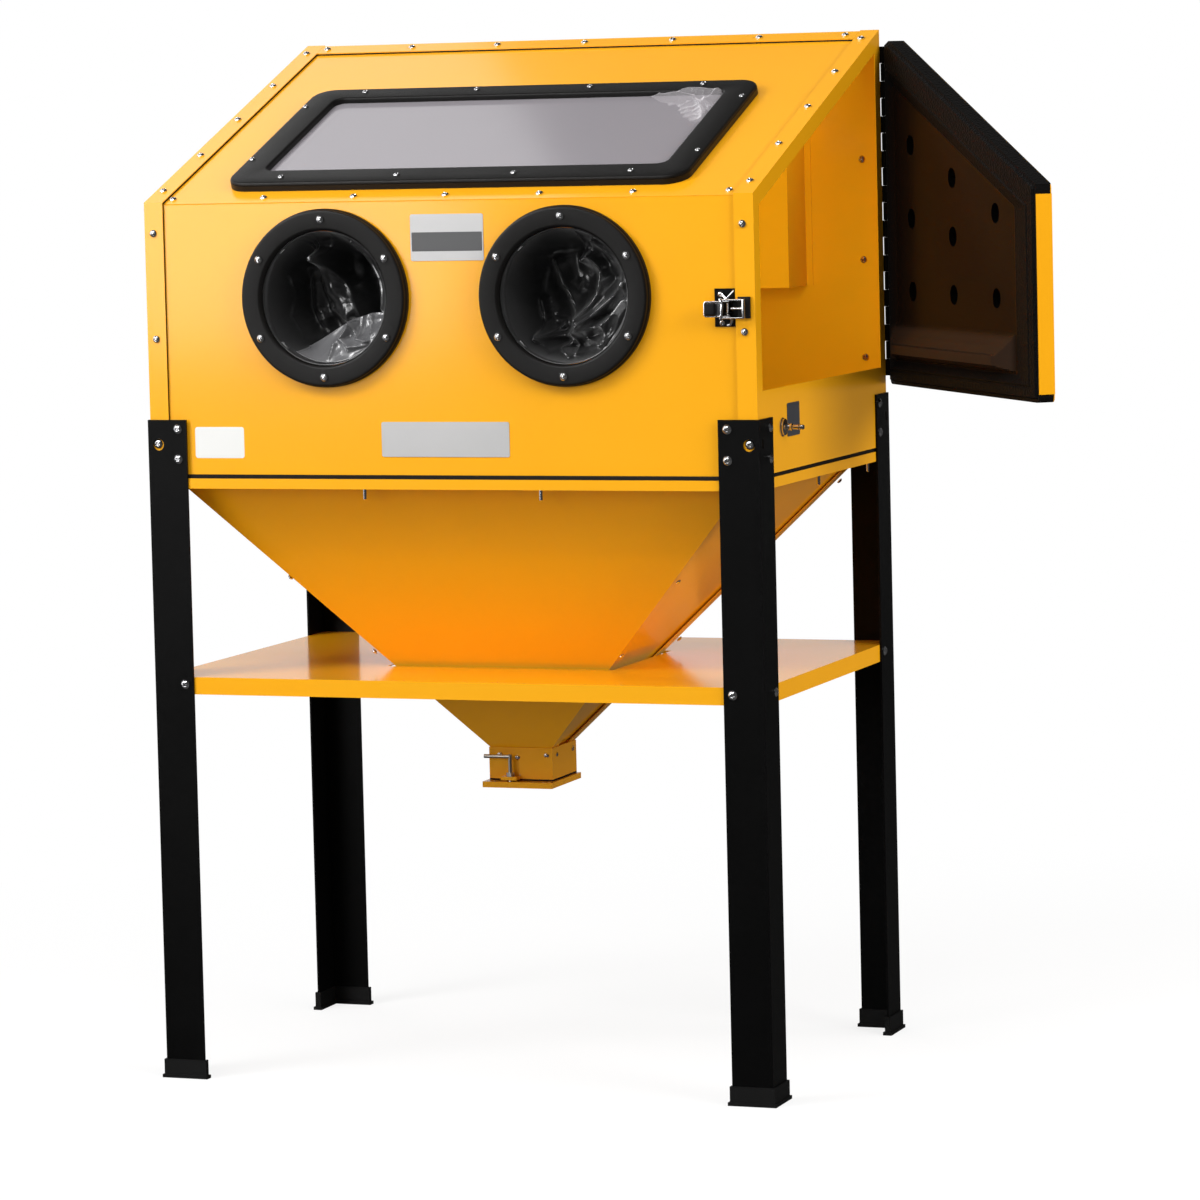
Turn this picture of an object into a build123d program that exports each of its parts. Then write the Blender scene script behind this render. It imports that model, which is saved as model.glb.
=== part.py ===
"""Free-standing sandblast cabinet: folded sheet chamber on four angle legs, a funnel under it and a side door.

Millimetres, +Z up. The front faces -Y and the loading door is on the +X side, standing open.
The origin is on the floor, under the middle of everything that the machine covers with its door open.
"""
from build123d import *
import os
from math import atan2, cos, degrees, hypot, radians, sin, tan

os.makedirs("parts", exist_ok=True)

# ---------------------------------------------------------------- driving dimensions
# Chamber
cabinet_width = 960
cabinet_depth = 626
bend_height = 1321          # floor to the fold between the front and the sloping top
top_height = 1556           # floor to the top rear edge
chamber_bottom = 914
sheet = 1.5
flange_width = 30           # folded edges of the two side panels
tape_thickness = 2.5        # foam tape that seals a panel under the flanges
tape_width = 18
fit_gap = 0.5               # between sheet edges that face each other
top_flange_width = 37       # edge of the rear panel that is folded over the slope
lap_width = 40              # edge of the front panel that is folded under the slope panel

# Loading door and its opening
opening_border = 25         # side panel left standing round the door opening
opening_sill = 1036
door_angle = 38             # how far the door stands open
door_length = 598           # hinge axis to the free edge
door_bottom = 1009
door_thickness = 27
door_seal_gap = 1           # door to side panel when it is shut
door_crown = 24             # short level stretch of the door's top edge, at the hinge
door_crown_fall = 7
door_drop = 10              # top edge of the door below the cabinet's slope
door_corner_radius = 8
door_flange_low = 1021
door_flange_high = 1309
liner_step = 4              # moulding in front of the door's slab
liner_inset = 5             # moulding in from the slab's edge
liner_edge = 2.5            # bevel of the moulding's outer edge
liner_rim = 12              # hinge edge to the recess
liner_end_rim = 30          # free edge to the recess
liner_top_rim = 44          # sloping edge to the recess, measured down
liner_low_rim = 25          # bottom edge to the recess
liner_recess_depth = 12
liner_end_bevel = 68        # width of the recess's sloping side at the free edge
liner_top_bevel = 25
liner_low_bevel = 12
pocket_radius = 15
pocket_depth = 9
pocket_inset = 82           # hinge edge to the middle of the first column of pockets
pocket_column_pitch = 169
pocket_lowest = 145         # bottom edge to the lowest pockets
pocket_columns = ((3, 112), (3, 87.5), (2, 125))    # pockets in a column, and their pitch
ledge_height = 1105
ledge_fall = 21             # how much lower the ledge's front edge is than its back
ledge_face = 26
ledge_reach = 7             # ledge beyond the liner's rim
ledge_round = 11
ledge_root = 1048
ledge_end_slant = 56        # the ledge's end at the free edge slants back this much
ledge_setback = 18          # the ledge stands in from the recess's hinge side, clear of the shut opening's edge

# Continuous hinge
barrel_radius = 4
barrel_sides = 12           # flats of a barrel's rolled outside and of its bore
hinge_pin_radius = 1.5
hinge_running_gap = 0.05
leaf_thickness = 1.2
leaf_width = 24
barrel_length = 25.6        # of the frame leaf; the door leaf's barrels fill the rest of the pitch
barrel_pitch = 53.6
barrel_gap = 0.4
hinge_bottom = 1022

# Arm openings
arm_ring_height = 1176
arm_ring_spacing = 378
arm_ring_inner_radius = 100
arm_ring_outer_radius = 132
arm_ring_thickness = 16
arm_ring_edge = 4
arm_hole_radius = 103.5     # in the front panel, round the sleeve
sleeve_wall = 2
sleeve_gap = 1              # sleeve to the edge of the panel's hole
sleeve_length = 300

# Window
window_margin_left = 112
window_margin_right = 118
window_side_bar = 46        # outer edge of the frame to its opening, at both ends
window_frame_low = 47       # up the slope from the front fold
window_frame_high = 439
window_frame_thickness = 14
window_frame_radius = 34
window_edge_bevel = 2.5
window_opening_low = 99
window_opening_high = 398
window_opening_radius = 16
window_pane_lap = 12
window_pane_thickness = 4
window_seal_thickness = 1

# Funnel under the chamber
rim_gasket_thickness = 6
rim_gasket_setback = 3
rim_lip = 15
funnel_inset = 26.5
funnel_outlet = 100
funnel_bottom = 478
funnel_flange_width = 25
outlet_bottom = 430
outlet_gasket = 2.4
outlet_gasket_width = 6
hatch_plate_thickness = 2
hatch_lip = 7
hatch_side_reach = 5
hatch_front_reach = 18
hatch_running_gap = 0.3
hatch_rod_radius = 3
hatch_rod_length = 42       # grip end to the rod's upright
hatch_rod_height = 465
hatch_rod_end = 3           # rod below its lower nut
hatch_tab_width = 25
hatch_tab_thickness = 5
hatch_nut_width = 12
hatch_nut_height = 5
hatch_pivot_shift = 14      # rod to the left of the outlet's middle

# Stand
leg_flange = 60
leg_thickness = 3
leg_top = 996
foot_height = 28
foot_wall = 3
foot_base = 3
foot_lip = 2.5
foot_lip_height = 5
foot_clearance = 0.2
bolt_head_radius = 7
bolt_head_height = 4.5
bolt_head_sides = 12
bolt_inset = 46             # from the cabinet's corner, along each leg flange
bolt_corner_inset = 12.5
leg_hole_radius = 8.8       # wide hole round the corner bolt's head
leg_hole_shift = 1.2        # the hole lies this much lower and further in than its bolt
bolt_upper = 982
bolt_middle = 960
bolt_lower = 937
leg_slot_length = 14
leg_slot_width = 5
shelf_bolt_height = 598
shelf_top = 609
shelf_lip = 26
shelf_cutout_gap = 9

# Latch
latch_height = 1157
latch_base_width = 31
latch_base_height = 55
latch_plate = 2
latch_pivot_inset = 8       # pivot to the base plate's right edge
latch_pivot_out = 11        # pivot in front of the front panel
latch_ear_thickness = 1.5
latch_ear_radius = 4.5
latch_ear_width = 17        # over both ears
latch_pin_radius = 1.5
latch_link_back = 9         # claw's pin behind the pivot, towards the grip
latch_link_out = 4          # claw's pin in front of the pivot
latch_cheek = 1.5
latch_cheek_gap = 0.5
latch_lever_out = 8.5       # lever's outer face in front of the pivot
latch_lever_length = 35     # pivot to the grip's end
latch_grip_length = 20
latch_grip_thickness = 5
latch_claw_arm = 5
latch_claw_thickness = 1.8
latch_claw_length = 27      # pivot to the claw's tip
latch_claw_bridge = 10
latch_pad_width = 18
latch_pad_height = 31
latch_pad_thickness = 5
latch_pad_inset = 7         # from the cabinet's right side
latch_pad_edge = 1
latch_claw_hook = 1         # the claw's tip is bent down this much past its arms

# Air inlet, extraction and inside
inlet_depth = 110           # from the front
inlet_height = 978
inlet_flange_radius = 14
inlet_flange_thickness = 4
inlet_neck_radius = 5
inlet_neck_length = 13.6
inlet_plug_radius = 4
inlet_length = 34
baffle_right = 837          # from the left side
baffle_width = 300
baffle_low = 1163
baffle_high = 1440
baffle_depth = 90
baffle_edge = 10            # its folded edges on the rear panel
duct_height = 1300
duct_radius = 50
duct_wall = 1.5
duct_length = 50
duct_plate = 136            # square plate on the rear panel
grate_gap = 4
grate_height = 12
grate_rail = 20
grate_bar = 8
grate_pitch = 58
grate_bars = 15

# ---------------------------------------------------------------- values worked out from them
slope_angle = degrees(atan2(top_height - bend_height, cabinet_depth))
slope_rise = tan(radians(slope_angle))
slope_sin = sin(radians(slope_angle))
slope_cos = cos(radians(slope_angle))
slope_length = hypot(cabinet_depth, top_height - bend_height)
window_frame_width = cabinet_width - window_margin_left - window_margin_right
window_centre = window_margin_left + window_frame_width / 2
window_opening_width = window_frame_width - 2 * window_side_bar
recess = sheet + tape_thickness         # outer face of a panel behind the flanges' outer faces
panel_back = recess + sheet
hinge_offset = barrel_radius            # hinge axis outside the cabinet's side and rear
door_inside = hinge_offset - door_seal_gap
door_outside = door_thickness - door_inside
latch_front = latch_pivot_out - recess + latch_lever_out + latch_grip_thickness
door_reach = (hinge_offset + door_length * sin(radians(door_angle))
              + (door_outside + sheet) * cos(radians(door_angle)))
foot_reach = leg_thickness + foot_wall + foot_lip

x_left = -(cabinet_width + door_reach - foot_reach) / 2
y_front = -(cabinet_depth + duct_length - latch_front) / 2

# Every plane is measured from the cabinet's front left corner, at the floor or at the front fold.
floor = Plane(origin=(x_left, y_front, 0))
front = Plane(origin=(x_left, y_front, 0), x_dir=(1, 0, 0), z_dir=(0, -1, 0))
rear = front.offset(-cabinet_depth)
left = Plane(origin=(x_left, y_front, 0), x_dir=(0, 1, 0), z_dir=(1, 0, 0))
right = left.offset(cabinet_width)
slope = Plane(origin=(x_left, y_front, bend_height), x_dir=(1, 0, 0), z_dir=(0, -slope_sin, slope_cos))
out_of_slope = Axis((0, 0, 0), slope.z_dir)
swing = radians(door_angle)
door_plane = Plane(
    origin=(x_left + cabinet_width + hinge_offset, y_front + cabinet_depth + hinge_offset, 0),
    x_dir=(sin(swing), -cos(swing), 0),
    z_dir=(-cos(swing), -sin(swing), 0),
)
panel_x = (sheet + fit_gap, cabinet_width - sheet - fit_gap)
field_x = (flange_width + fit_gap, cabinet_width - flange_width - fit_gap)


def finish(part, name):
    """Label a finished piece and write it as its own STEP file."""
    part.label = name
    export_step(part, f"parts/{name}.step")


def slope_height(depth, level=0):
    """Height at a distance from the front, on a plane this far above or below the slope's outer face."""
    return bend_height + depth * slope_rise + level / slope_cos


def box_between(x, y, z, mode=Mode.ADD):
    """A block between pairs of coordinates taken from the front left corner."""
    with BuildSketch(floor.offset(z[0])) as base:
        with Locations(((x[0] + x[1]) / 2, (y[0] + y[1]) / 2)):
            Rectangle(x[1] - x[0], y[1] - y[0])
    extrude(base.sketch, amount=z[1] - z[0], mode=mode)


def polygon(plane, points):
    """A closed outline on a plane."""
    with BuildSketch(plane) as outline:
        with BuildLine():
            Polyline(*points, close=True)
        make_face()
    return outline.sketch


def side_profile(plane, inset=0):
    """The cabinet seen from the side, with every edge moved in by the inset."""
    with BuildSketch(plane) as outline:
        with BuildLine():
            Polyline(
                (0, chamber_bottom),
                (cabinet_depth, chamber_bottom),
                (cabinet_depth, top_height),
                (0, bend_height),
                close=True,
            )
        make_face()
        if inset:
            offset(amount=-inset, kind=Kind.INTERSECTION)
    return outline.sketch


def side_tray(plane, inward):
    """A side panel with its four edges folded in, notched where the front and rear panels pass."""
    web_face = plane.offset(inward * sheet)
    extrude(side_profile(plane), amount=inward * flange_width)
    extrude(side_profile(web_face, sheet), amount=inward * flange_width, mode=Mode.SUBTRACT)
    notch = panel_back + fit_gap
    for start in (sheet, cabinet_depth - notch):
        with BuildSketch(web_face) as corner:
            with Locations((start + (notch - sheet) / 2, chamber_bottom + sheet / 2)):
                Rectangle(notch - sheet, sheet)
        extrude(corner.sketch, amount=inward * flange_width, mode=Mode.SUBTRACT)


# ---------------------------------------------------------------- chamber panels
with BuildPart() as side_panel_left:
    side_tray(left, 1)
finish(side_panel_left.part, "side_panel_left")

with BuildPart() as side_panel_right:
    side_tray(right, -1)
    far = cabinet_depth - opening_border
    opening = polygon(right, [
        (opening_border, opening_sill),
        (far, opening_sill),
        (far, slope_height(far, -opening_border)),
        (opening_border, slope_height(opening_border, -opening_border)),
    ])
    extrude(opening, amount=-sheet, mode=Mode.SUBTRACT)
finish(side_panel_right.part, "side_panel_right")

with BuildPart() as front_panel:
    fold = slope_height(recess, -panel_back)
    back_fold = slope_height(panel_back, -panel_back - sheet)
    lap_end = (lap_width * slope_cos + panel_back * slope_sin, bend_height + lap_width * slope_sin
               - panel_back * slope_cos)
    folded = polygon(left.offset(panel_x[0]), [
        (recess, chamber_bottom),
        (recess, fold),
        lap_end,
        (lap_end[0] + sheet * slope_sin, lap_end[1] - sheet * slope_cos),
        (panel_back, back_fold),
        (panel_back, chamber_bottom),
    ])
    extrude(folded, amount=panel_x[1] - panel_x[0])
    box_between(field_x, (panel_back, flange_width), (chamber_bottom, chamber_bottom + sheet))
    with BuildSketch(front.offset(-recess)):
        with Locations((cabinet_width / 2, arm_ring_height)):
            with GridLocations(arm_ring_spacing, 1, 2, 1):
                Circle(arm_hole_radius)
    extrude(amount=-sheet, mode=Mode.SUBTRACT)
finish(front_panel.part, "front_panel")

slope_panel_low = recess * (1 - slope_sin) / slope_cos
slope_panel_high = (cabinet_depth - panel_back - fit_gap - panel_back * slope_sin) / slope_cos
window_opening_middle = (window_opening_low + window_opening_high) / 2
window_opening_height = window_opening_high - window_opening_low
with BuildPart() as slope_panel:
    with BuildSketch(slope.offset(-recess)):
        with Locations((cabinet_width / 2, (slope_panel_low + slope_panel_high) / 2)):
            Rectangle(panel_x[1] - panel_x[0], slope_panel_high - slope_panel_low)
        with Locations((window_centre, window_opening_middle)):
            RectangleRounded(window_opening_width, window_opening_height, window_opening_radius,
                             mode=Mode.SUBTRACT)
    extrude(amount=-sheet)
finish(slope_panel.part, "slope_panel")

rear_face = cabinet_depth - recess
rear_back = cabinet_depth - panel_back
with BuildPart() as rear_panel:
    box_between(panel_x, (rear_back, rear_face), (chamber_bottom, slope_height(rear_back, -panel_back)))
    flange_end = slope_length - top_flange_width
    folded = polygon(left.offset(field_x[0]), [
        (rear_back, chamber_bottom),
        (rear_face, chamber_bottom),
        (rear_face, slope_height(rear_face)),
        (flange_end * slope_cos, bend_height + flange_end * slope_sin),
        (flange_end * slope_cos + sheet * slope_sin, bend_height + flange_end * slope_sin - sheet * slope_cos),
        (rear_back, slope_height(rear_back, -sheet)),
    ])
    extrude(folded, amount=field_x[1] - field_x[0])
    box_between(field_x, (cabinet_depth - flange_width, rear_back), (chamber_bottom, chamber_bottom + sheet))
    with BuildSketch(rear.offset(recess)):
        with Locations((baffle_right - baffle_width / 2, duct_height)):
            Circle(duct_radius + fit_gap)
    extrude(amount=sheet, mode=Mode.SUBTRACT)
finish(rear_panel.part, "rear_panel")

with BuildPart() as panel_seal:
    for start in (flange_width + fit_gap - tape_width, cabinet_width - flange_width - fit_gap):
        extrude(side_profile(left.offset(start), sheet), amount=tape_width)
        extrude(side_profile(left.offset(start), recess), amount=tape_width, mode=Mode.SUBTRACT)
    box_between((0, cabinet_width), (panel_back + fit_gap, rear_back - fit_gap),
                (chamber_bottom, chamber_bottom + panel_back), mode=Mode.SUBTRACT)
    box_between((0, cabinet_width), (0, cabinet_depth), (chamber_bottom, chamber_bottom + recess),
                mode=Mode.SUBTRACT)
    tape_end = (cabinet_depth - panel_back - fit_gap - recess * slope_sin) / slope_cos
    with BuildSketch(slope.offset(-sheet)):
        with Locations((cabinet_width / 2, (slope_length - top_flange_width + tape_end) / 2)):
            Rectangle(field_x[1] - field_x[0], tape_end - slope_length + top_flange_width)
    extrude(amount=-tape_thickness)
finish(panel_seal.part, "panel_seal")

# ---------------------------------------------------------------- window
frame_middle = (window_frame_low + window_frame_high) / 2
pane_width = window_opening_width + 2 * window_pane_lap
pane_height = window_opening_height + 2 * window_pane_lap
with BuildPart() as window_seal:
    with BuildSketch(slope.offset(-recess)):
        with Locations((window_centre, window_opening_middle)):
            Rectangle(pane_width, pane_height)
            RectangleRounded(window_opening_width, window_opening_height, window_opening_radius,
                             mode=Mode.SUBTRACT)
    extrude(amount=window_seal_thickness)
finish(window_seal.part, "window_seal")

pane_level = window_seal_thickness - recess
with BuildPart() as window_pane:
    with BuildSketch(slope.offset(pane_level)):
        with Locations((window_centre, window_opening_middle)):
            Rectangle(pane_width, pane_height)
    extrude(amount=window_pane_thickness)
finish(window_pane.part, "window_pane")

with BuildPart() as window_frame:
    with BuildSketch(slope.offset(-recess)):
        with Locations((window_centre, frame_middle)):
            RectangleRounded(window_frame_width, window_frame_high - window_frame_low, window_frame_radius)
        with Locations((window_centre, window_opening_middle)):
            RectangleRounded(window_opening_width, window_opening_height, window_opening_radius,
                             mode=Mode.SUBTRACT)
    extrude(amount=window_frame_thickness)
    top_face = window_frame.faces().sort_by(out_of_slope)[-1]
    chamfer(top_face.outer_wire().edges(), length=window_edge_bevel)
    with BuildSketch(slope.offset(-recess)):
        with Locations((window_centre, window_opening_middle)):
            Rectangle(pane_width + fit_gap, pane_height + fit_gap)
    extrude(amount=window_seal_thickness + window_pane_thickness, mode=Mode.SUBTRACT)
finish(window_frame.part, "window_frame")

# ---------------------------------------------------------------- arm openings
arm_ports = {
    "left": (cabinet_width - arm_ring_spacing) / 2,
    "right": (cabinet_width + arm_ring_spacing) / 2,
}
sleeve_radius = arm_hole_radius - sleeve_gap
for side, centre in arm_ports.items():
    with BuildPart() as arm_ring:
        with BuildSketch(front.offset(-recess)):
            with Locations((centre, arm_ring_height)):
                Circle(arm_ring_outer_radius)
        extrude(amount=arm_ring_thickness)
        chamfer(arm_ring.faces().sort_by(Axis.Y)[0].edges(), length=arm_ring_edge)
        with BuildSketch(front.offset(-recess)):
            with Locations((centre, arm_ring_height)):
                Circle(arm_ring_inner_radius)
        extrude(amount=arm_ring_thickness, mode=Mode.SUBTRACT)
    finish(arm_ring.part, f"arm_ring_{side}")

    # The sleeve starts on the ring's back, goes through the panel and hangs open at its far end.
    with BuildPart() as arm_sleeve:
        with BuildSketch(front.offset(-recess)):
            with Locations((centre, arm_ring_height)):
                Circle(sleeve_radius)
                Circle(sleeve_radius - sleeve_wall, mode=Mode.SUBTRACT)
        extrude(amount=-sleeve_length)
    finish(arm_sleeve.part, f"arm_sleeve_{side}")

# ---------------------------------------------------------------- funnel
rim_top = chamber_bottom - rim_gasket_thickness
funnel_top = rim_top - sheet
funnel_drop = funnel_top - funnel_bottom
outlet_x = ((cabinet_width - funnel_outlet) / 2, (cabinet_width + funnel_outlet) / 2)
outlet_y = ((cabinet_depth - funnel_outlet) / 2, (cabinet_depth + funnel_outlet) / 2)
side_run = outlet_x[0] - funnel_inset
front_run = outlet_y[0] - funnel_inset
side_slant = hypot(side_run, funnel_drop) / funnel_drop
front_slant = hypot(front_run, funnel_drop) / funnel_drop

with BuildPart() as rim_gasket:
    with BuildSketch(floor.offset(rim_top)):
        with Locations((cabinet_width / 2, cabinet_depth / 2)):
            Rectangle(cabinet_width - 2 * rim_gasket_setback, cabinet_depth - 2 * rim_gasket_setback)
            Rectangle(cabinet_width - 2 * flange_width, cabinet_depth - 2 * flange_width, mode=Mode.SUBTRACT)
    extrude(amount=rim_gasket_thickness)
finish(rim_gasket.part, "rim_gasket")


def funnel_prism(plane, across, inset, length, mode=Mode.ADD):
    """The funnel's outline across one of its widths, moved in by the inset at each level, as a long prism."""
    top, low = funnel_inset + inset, (across - funnel_outlet) / 2 + inset
    outline = polygon(plane, [
        (top, funnel_top),
        (across - top, funnel_top),
        (across - low, funnel_bottom),
        (low, funnel_bottom),
    ])
    extrude(outline, amount=length, mode=mode)


def funnel_space(side_inset, front_inset, mode=Mode.ADD):
    """The funnel as one solid, with its side walls and its front and rear walls moved in."""
    with BuildPart(mode=Mode.PRIVATE) as space:
        funnel_prism(front, cabinet_width, side_inset, -cabinet_depth)
        funnel_prism(left, cabinet_depth, front_inset, cabinet_width, mode=Mode.INTERSECT)
    add(space.part, mode=mode)


side_sheet = sheet * side_slant
front_sheet = sheet * front_slant
band_cut = funnel_flange_width * front_slant
with BuildPart() as funnel_front:
    funnel_space(0, 0)
    funnel_space(side_sheet, front_sheet, mode=Mode.SUBTRACT)
    band = polygon(left, [
        (funnel_inset, funnel_top),
        (funnel_inset + band_cut, funnel_top),
        (outlet_y[0] + band_cut, funnel_bottom),
        (outlet_y[0], funnel_bottom),
    ])
    extrude(band, amount=cabinet_width, mode=Mode.INTERSECT)
    box_between((0, cabinet_width), (0, funnel_inset + front_sheet), (funnel_top, rim_top))
    box_between((0, cabinet_width), (0, sheet), (rim_top - rim_lip, rim_top))
finish(funnel_front.part, "funnel_front")

with BuildPart() as funnel_rear:
    mirror(funnel_front.part, about=front.offset(-cabinet_depth / 2))
finish(funnel_rear.part, "funnel_rear")

# The side walls lie inside the folded edges of the front and rear walls.
side_start = recess * side_slant
side_end = panel_back * side_slant
side_cut = panel_back * front_slant
side_rim = funnel_inset + side_end
rim_y = (funnel_inset + front_sheet + fit_gap, cabinet_depth - funnel_inset - front_sheet - fit_gap)
with BuildPart() as funnel_left:
    funnel_space(side_start, side_cut)
    funnel_space(side_end, 0, mode=Mode.SUBTRACT)
    box_between((cabinet_width / 2, cabinet_width), (0, cabinet_depth), (funnel_bottom, funnel_top),
                mode=Mode.SUBTRACT)
    box_between((0, side_rim), rim_y, (funnel_top, rim_top))
    box_between((0, sheet), rim_y, (rim_top - rim_lip, rim_top))
finish(funnel_left.part, "funnel_left")

with BuildPart() as funnel_right:
    mirror(funnel_left.part, about=left.offset(cabinet_width / 2))
finish(funnel_right.part, "funnel_right")

# ---------------------------------------------------------------- outlet and its swing-away hatch
box_x = (outlet_x[0] - sheet, outlet_x[1] + sheet)
box_y = (outlet_y[0] - sheet, outlet_y[1] + sheet)
box_width = funnel_outlet + 2 * sheet
rod_x = cabinet_width / 2 - hatch_pivot_shift
rod_y = box_y[0] - hatch_front_reach / 2
hatch_top = outlet_bottom - outlet_gasket - hatch_running_gap
tab_low = outlet_bottom
rod_hole_radius = hatch_rod_radius + hinge_running_gap
with BuildPart() as outlet_box:
    with BuildSketch(floor.offset(outlet_bottom)):
        with Locations((cabinet_width / 2, cabinet_depth / 2)):
            Rectangle(box_width, box_width)
            Rectangle(box_width - 2 * sheet, box_width - 2 * sheet, mode=Mode.SUBTRACT)
    extrude(amount=funnel_bottom - outlet_bottom)
    box_between((rod_x - hatch_tab_width / 2, rod_x + hatch_tab_width / 2), (box_y[0] - hatch_front_reach, box_y[0]),
                (tab_low, tab_low + hatch_tab_thickness))
    with BuildSketch(floor.offset(tab_low)):
        with Locations((rod_x, rod_y)):
            Circle(rod_hole_radius)
    extrude(amount=hatch_tab_thickness, mode=Mode.SUBTRACT)
finish(outlet_box.part, "outlet_box")

with BuildPart() as outlet_seal:
    with BuildSketch(floor.offset(outlet_bottom)):
        with Locations((cabinet_width / 2, cabinet_depth / 2)):
            Rectangle(box_width, box_width)
            Rectangle(box_width - 2 * outlet_gasket_width, box_width - 2 * outlet_gasket_width,
                      mode=Mode.SUBTRACT)
    extrude(amount=-outlet_gasket)
finish(outlet_seal.part, "outlet_seal")

hatch_x = (box_x[0] - hatch_side_reach, box_x[1] + hatch_side_reach)
hatch_y = (box_y[0] - hatch_front_reach, box_y[1] + hatch_side_reach)
with BuildPart() as hatch_plate:
    box_between(hatch_x, hatch_y, (hatch_top - hatch_plate_thickness - hatch_lip, hatch_top))
    box_between(
        (hatch_x[0] + hatch_plate_thickness, hatch_x[1] - hatch_plate_thickness),
        (hatch_y[0] + hatch_plate_thickness, hatch_y[1] - hatch_plate_thickness),
        (hatch_top - hatch_plate_thickness - hatch_lip, hatch_top - hatch_plate_thickness),
        mode=Mode.SUBTRACT,
    )
    with BuildSketch(floor.offset(hatch_top)):
        with Locations((rod_x, rod_y)):
            Circle(hatch_rod_radius)
    extrude(amount=-hatch_plate_thickness, mode=Mode.SUBTRACT)
finish(hatch_plate.part, "hatch_plate")

nut_below = hatch_top - hatch_plate_thickness - hatch_nut_height
rod_low = nut_below - hatch_rod_end
with BuildPart() as hatch_handle:
    with BuildSketch(floor.offset(rod_low)):
        with Locations((rod_x, rod_y)):
            Circle(hatch_rod_radius)
    extrude(amount=hatch_rod_height + hatch_rod_radius - rod_low)
    with BuildSketch(left.offset(rod_x)):
        with Locations((rod_y, hatch_rod_height)):
            Circle(hatch_rod_radius)
    extrude(amount=-hatch_rod_length)
finish(hatch_handle.part, "hatch_handle")

with BuildPart() as hatch_nuts:
    for level in (nut_below, tab_low + hatch_tab_thickness + hatch_running_gap):
        with BuildSketch(floor.offset(level)):
            with Locations((rod_x, rod_y)):
                RegularPolygon(hatch_nut_width / 2, 6, major_radius=False)
                Circle(hatch_rod_radius, mode=Mode.SUBTRACT)
        extrude(amount=hatch_nut_height)
finish(hatch_nuts.part, "hatch_nuts")

# ---------------------------------------------------------------- stand
corners = {
    "front_left": (0, 0, 1, 1),
    "front_right": (cabinet_width, 0, -1, 1),
    "rear_right": (cabinet_width, cabinet_depth, -1, -1),
    "rear_left": (0, cabinet_depth, 1, -1),
}


def angle_section(plane, corner, grow=0):
    """The L section of a leg at one corner of the cabinet, made larger all round by grow."""
    x, y, sx, sy = corner
    out, end, back = -leg_thickness - grow, leg_flange + grow, grow
    points = [(out, out), (end, out), (end, back), (back, back), (back, end), (out, end)]
    return polygon(plane, [(x + sx * u, y + sy * v) for u, v in points])


for name, corner in corners.items():
    x, y, sx, sy = corner
    hole_inset = bolt_corner_inset + leg_hole_shift
    with BuildPart() as leg:
        extrude(angle_section(floor.offset(foot_base), corner), amount=leg_top - foot_base)
        with BuildSketch(front if sy > 0 else rear):
            with Locations((x + sx * hole_inset, bolt_middle - leg_hole_shift)):
                Circle(leg_hole_radius)
        extrude(amount=sy * leg_thickness, mode=Mode.SUBTRACT)
        with BuildSketch(left if sx > 0 else right):
            with Locations((y + sy * bolt_corner_inset, bolt_middle)):
                Rectangle(leg_slot_width, leg_slot_length)
        extrude(amount=-sx * leg_thickness, mode=Mode.SUBTRACT)
    finish(leg.part, f"leg_{name}")

    with BuildPart() as foot:
        extrude(angle_section(floor, corner, foot_wall), amount=foot_height)
        extrude(angle_section(floor, corner, foot_wall + foot_lip), amount=foot_lip_height)
        extrude(angle_section(floor.offset(foot_base), corner, foot_clearance), amount=foot_height,
                mode=Mode.SUBTRACT)
    finish(foot.part, f"foot_{name}")


def bolt_heads(corner, heights, seat):
    """Bolt heads on both flanges of a leg, on its outer faces or on the cabinet's."""
    x, y, sx, sy = corner
    for plane, outward, along, sense in (
        (front if sy > 0 else rear, sy, x, sx),
        (left if sx > 0 else right, -sx, y, sy),
    ):
        with BuildSketch(plane.offset(outward * seat)) as heads:
            with Locations(*[(along + sense * bolt_inset, height) for height in heights]):
                RegularPolygon(bolt_head_radius, bolt_head_sides)
        extrude(heads.sketch, amount=outward * bolt_head_height)


with BuildPart() as leg_bolts:
    for corner in corners.values():
        bolt_heads(corner, (bolt_upper, bolt_lower), leg_thickness)
        x, y, sx, sy = corner
        with BuildSketch(front if sy > 0 else rear):
            with Locations((x + sx * bolt_corner_inset, bolt_middle)):
                RegularPolygon(bolt_head_radius, bolt_head_sides)
        extrude(amount=sy * bolt_head_height)
finish(leg_bolts.part, "leg_bolts")

with BuildPart() as shelf_bolts:
    for corner in corners.values():
        bolt_heads(corner, (shelf_bolt_height,), leg_thickness)
finish(shelf_bolts.part, "shelf_bolts")

# The shelf is cut out round the funnel with the same gap on all sides.
cut_depth = funnel_top - shelf_top
cut_x = funnel_inset + side_run * cut_depth / funnel_drop - shelf_cutout_gap
cut_y = funnel_inset + front_run * cut_depth / funnel_drop - shelf_cutout_gap
with BuildPart() as shelf:
    box_between((0, cabinet_width), (0, cabinet_depth), (shelf_top - shelf_lip, shelf_top))
    box_between((sheet, cabinet_width - sheet), (sheet, cabinet_depth - sheet),
                (shelf_top - shelf_lip, shelf_top - sheet), mode=Mode.SUBTRACT)
    box_between((cut_x, cabinet_width - cut_x), (cut_y, cabinet_depth - cut_y),
                (shelf_top - sheet, shelf_top), mode=Mode.SUBTRACT)
finish(shelf.part, "shelf")

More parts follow.
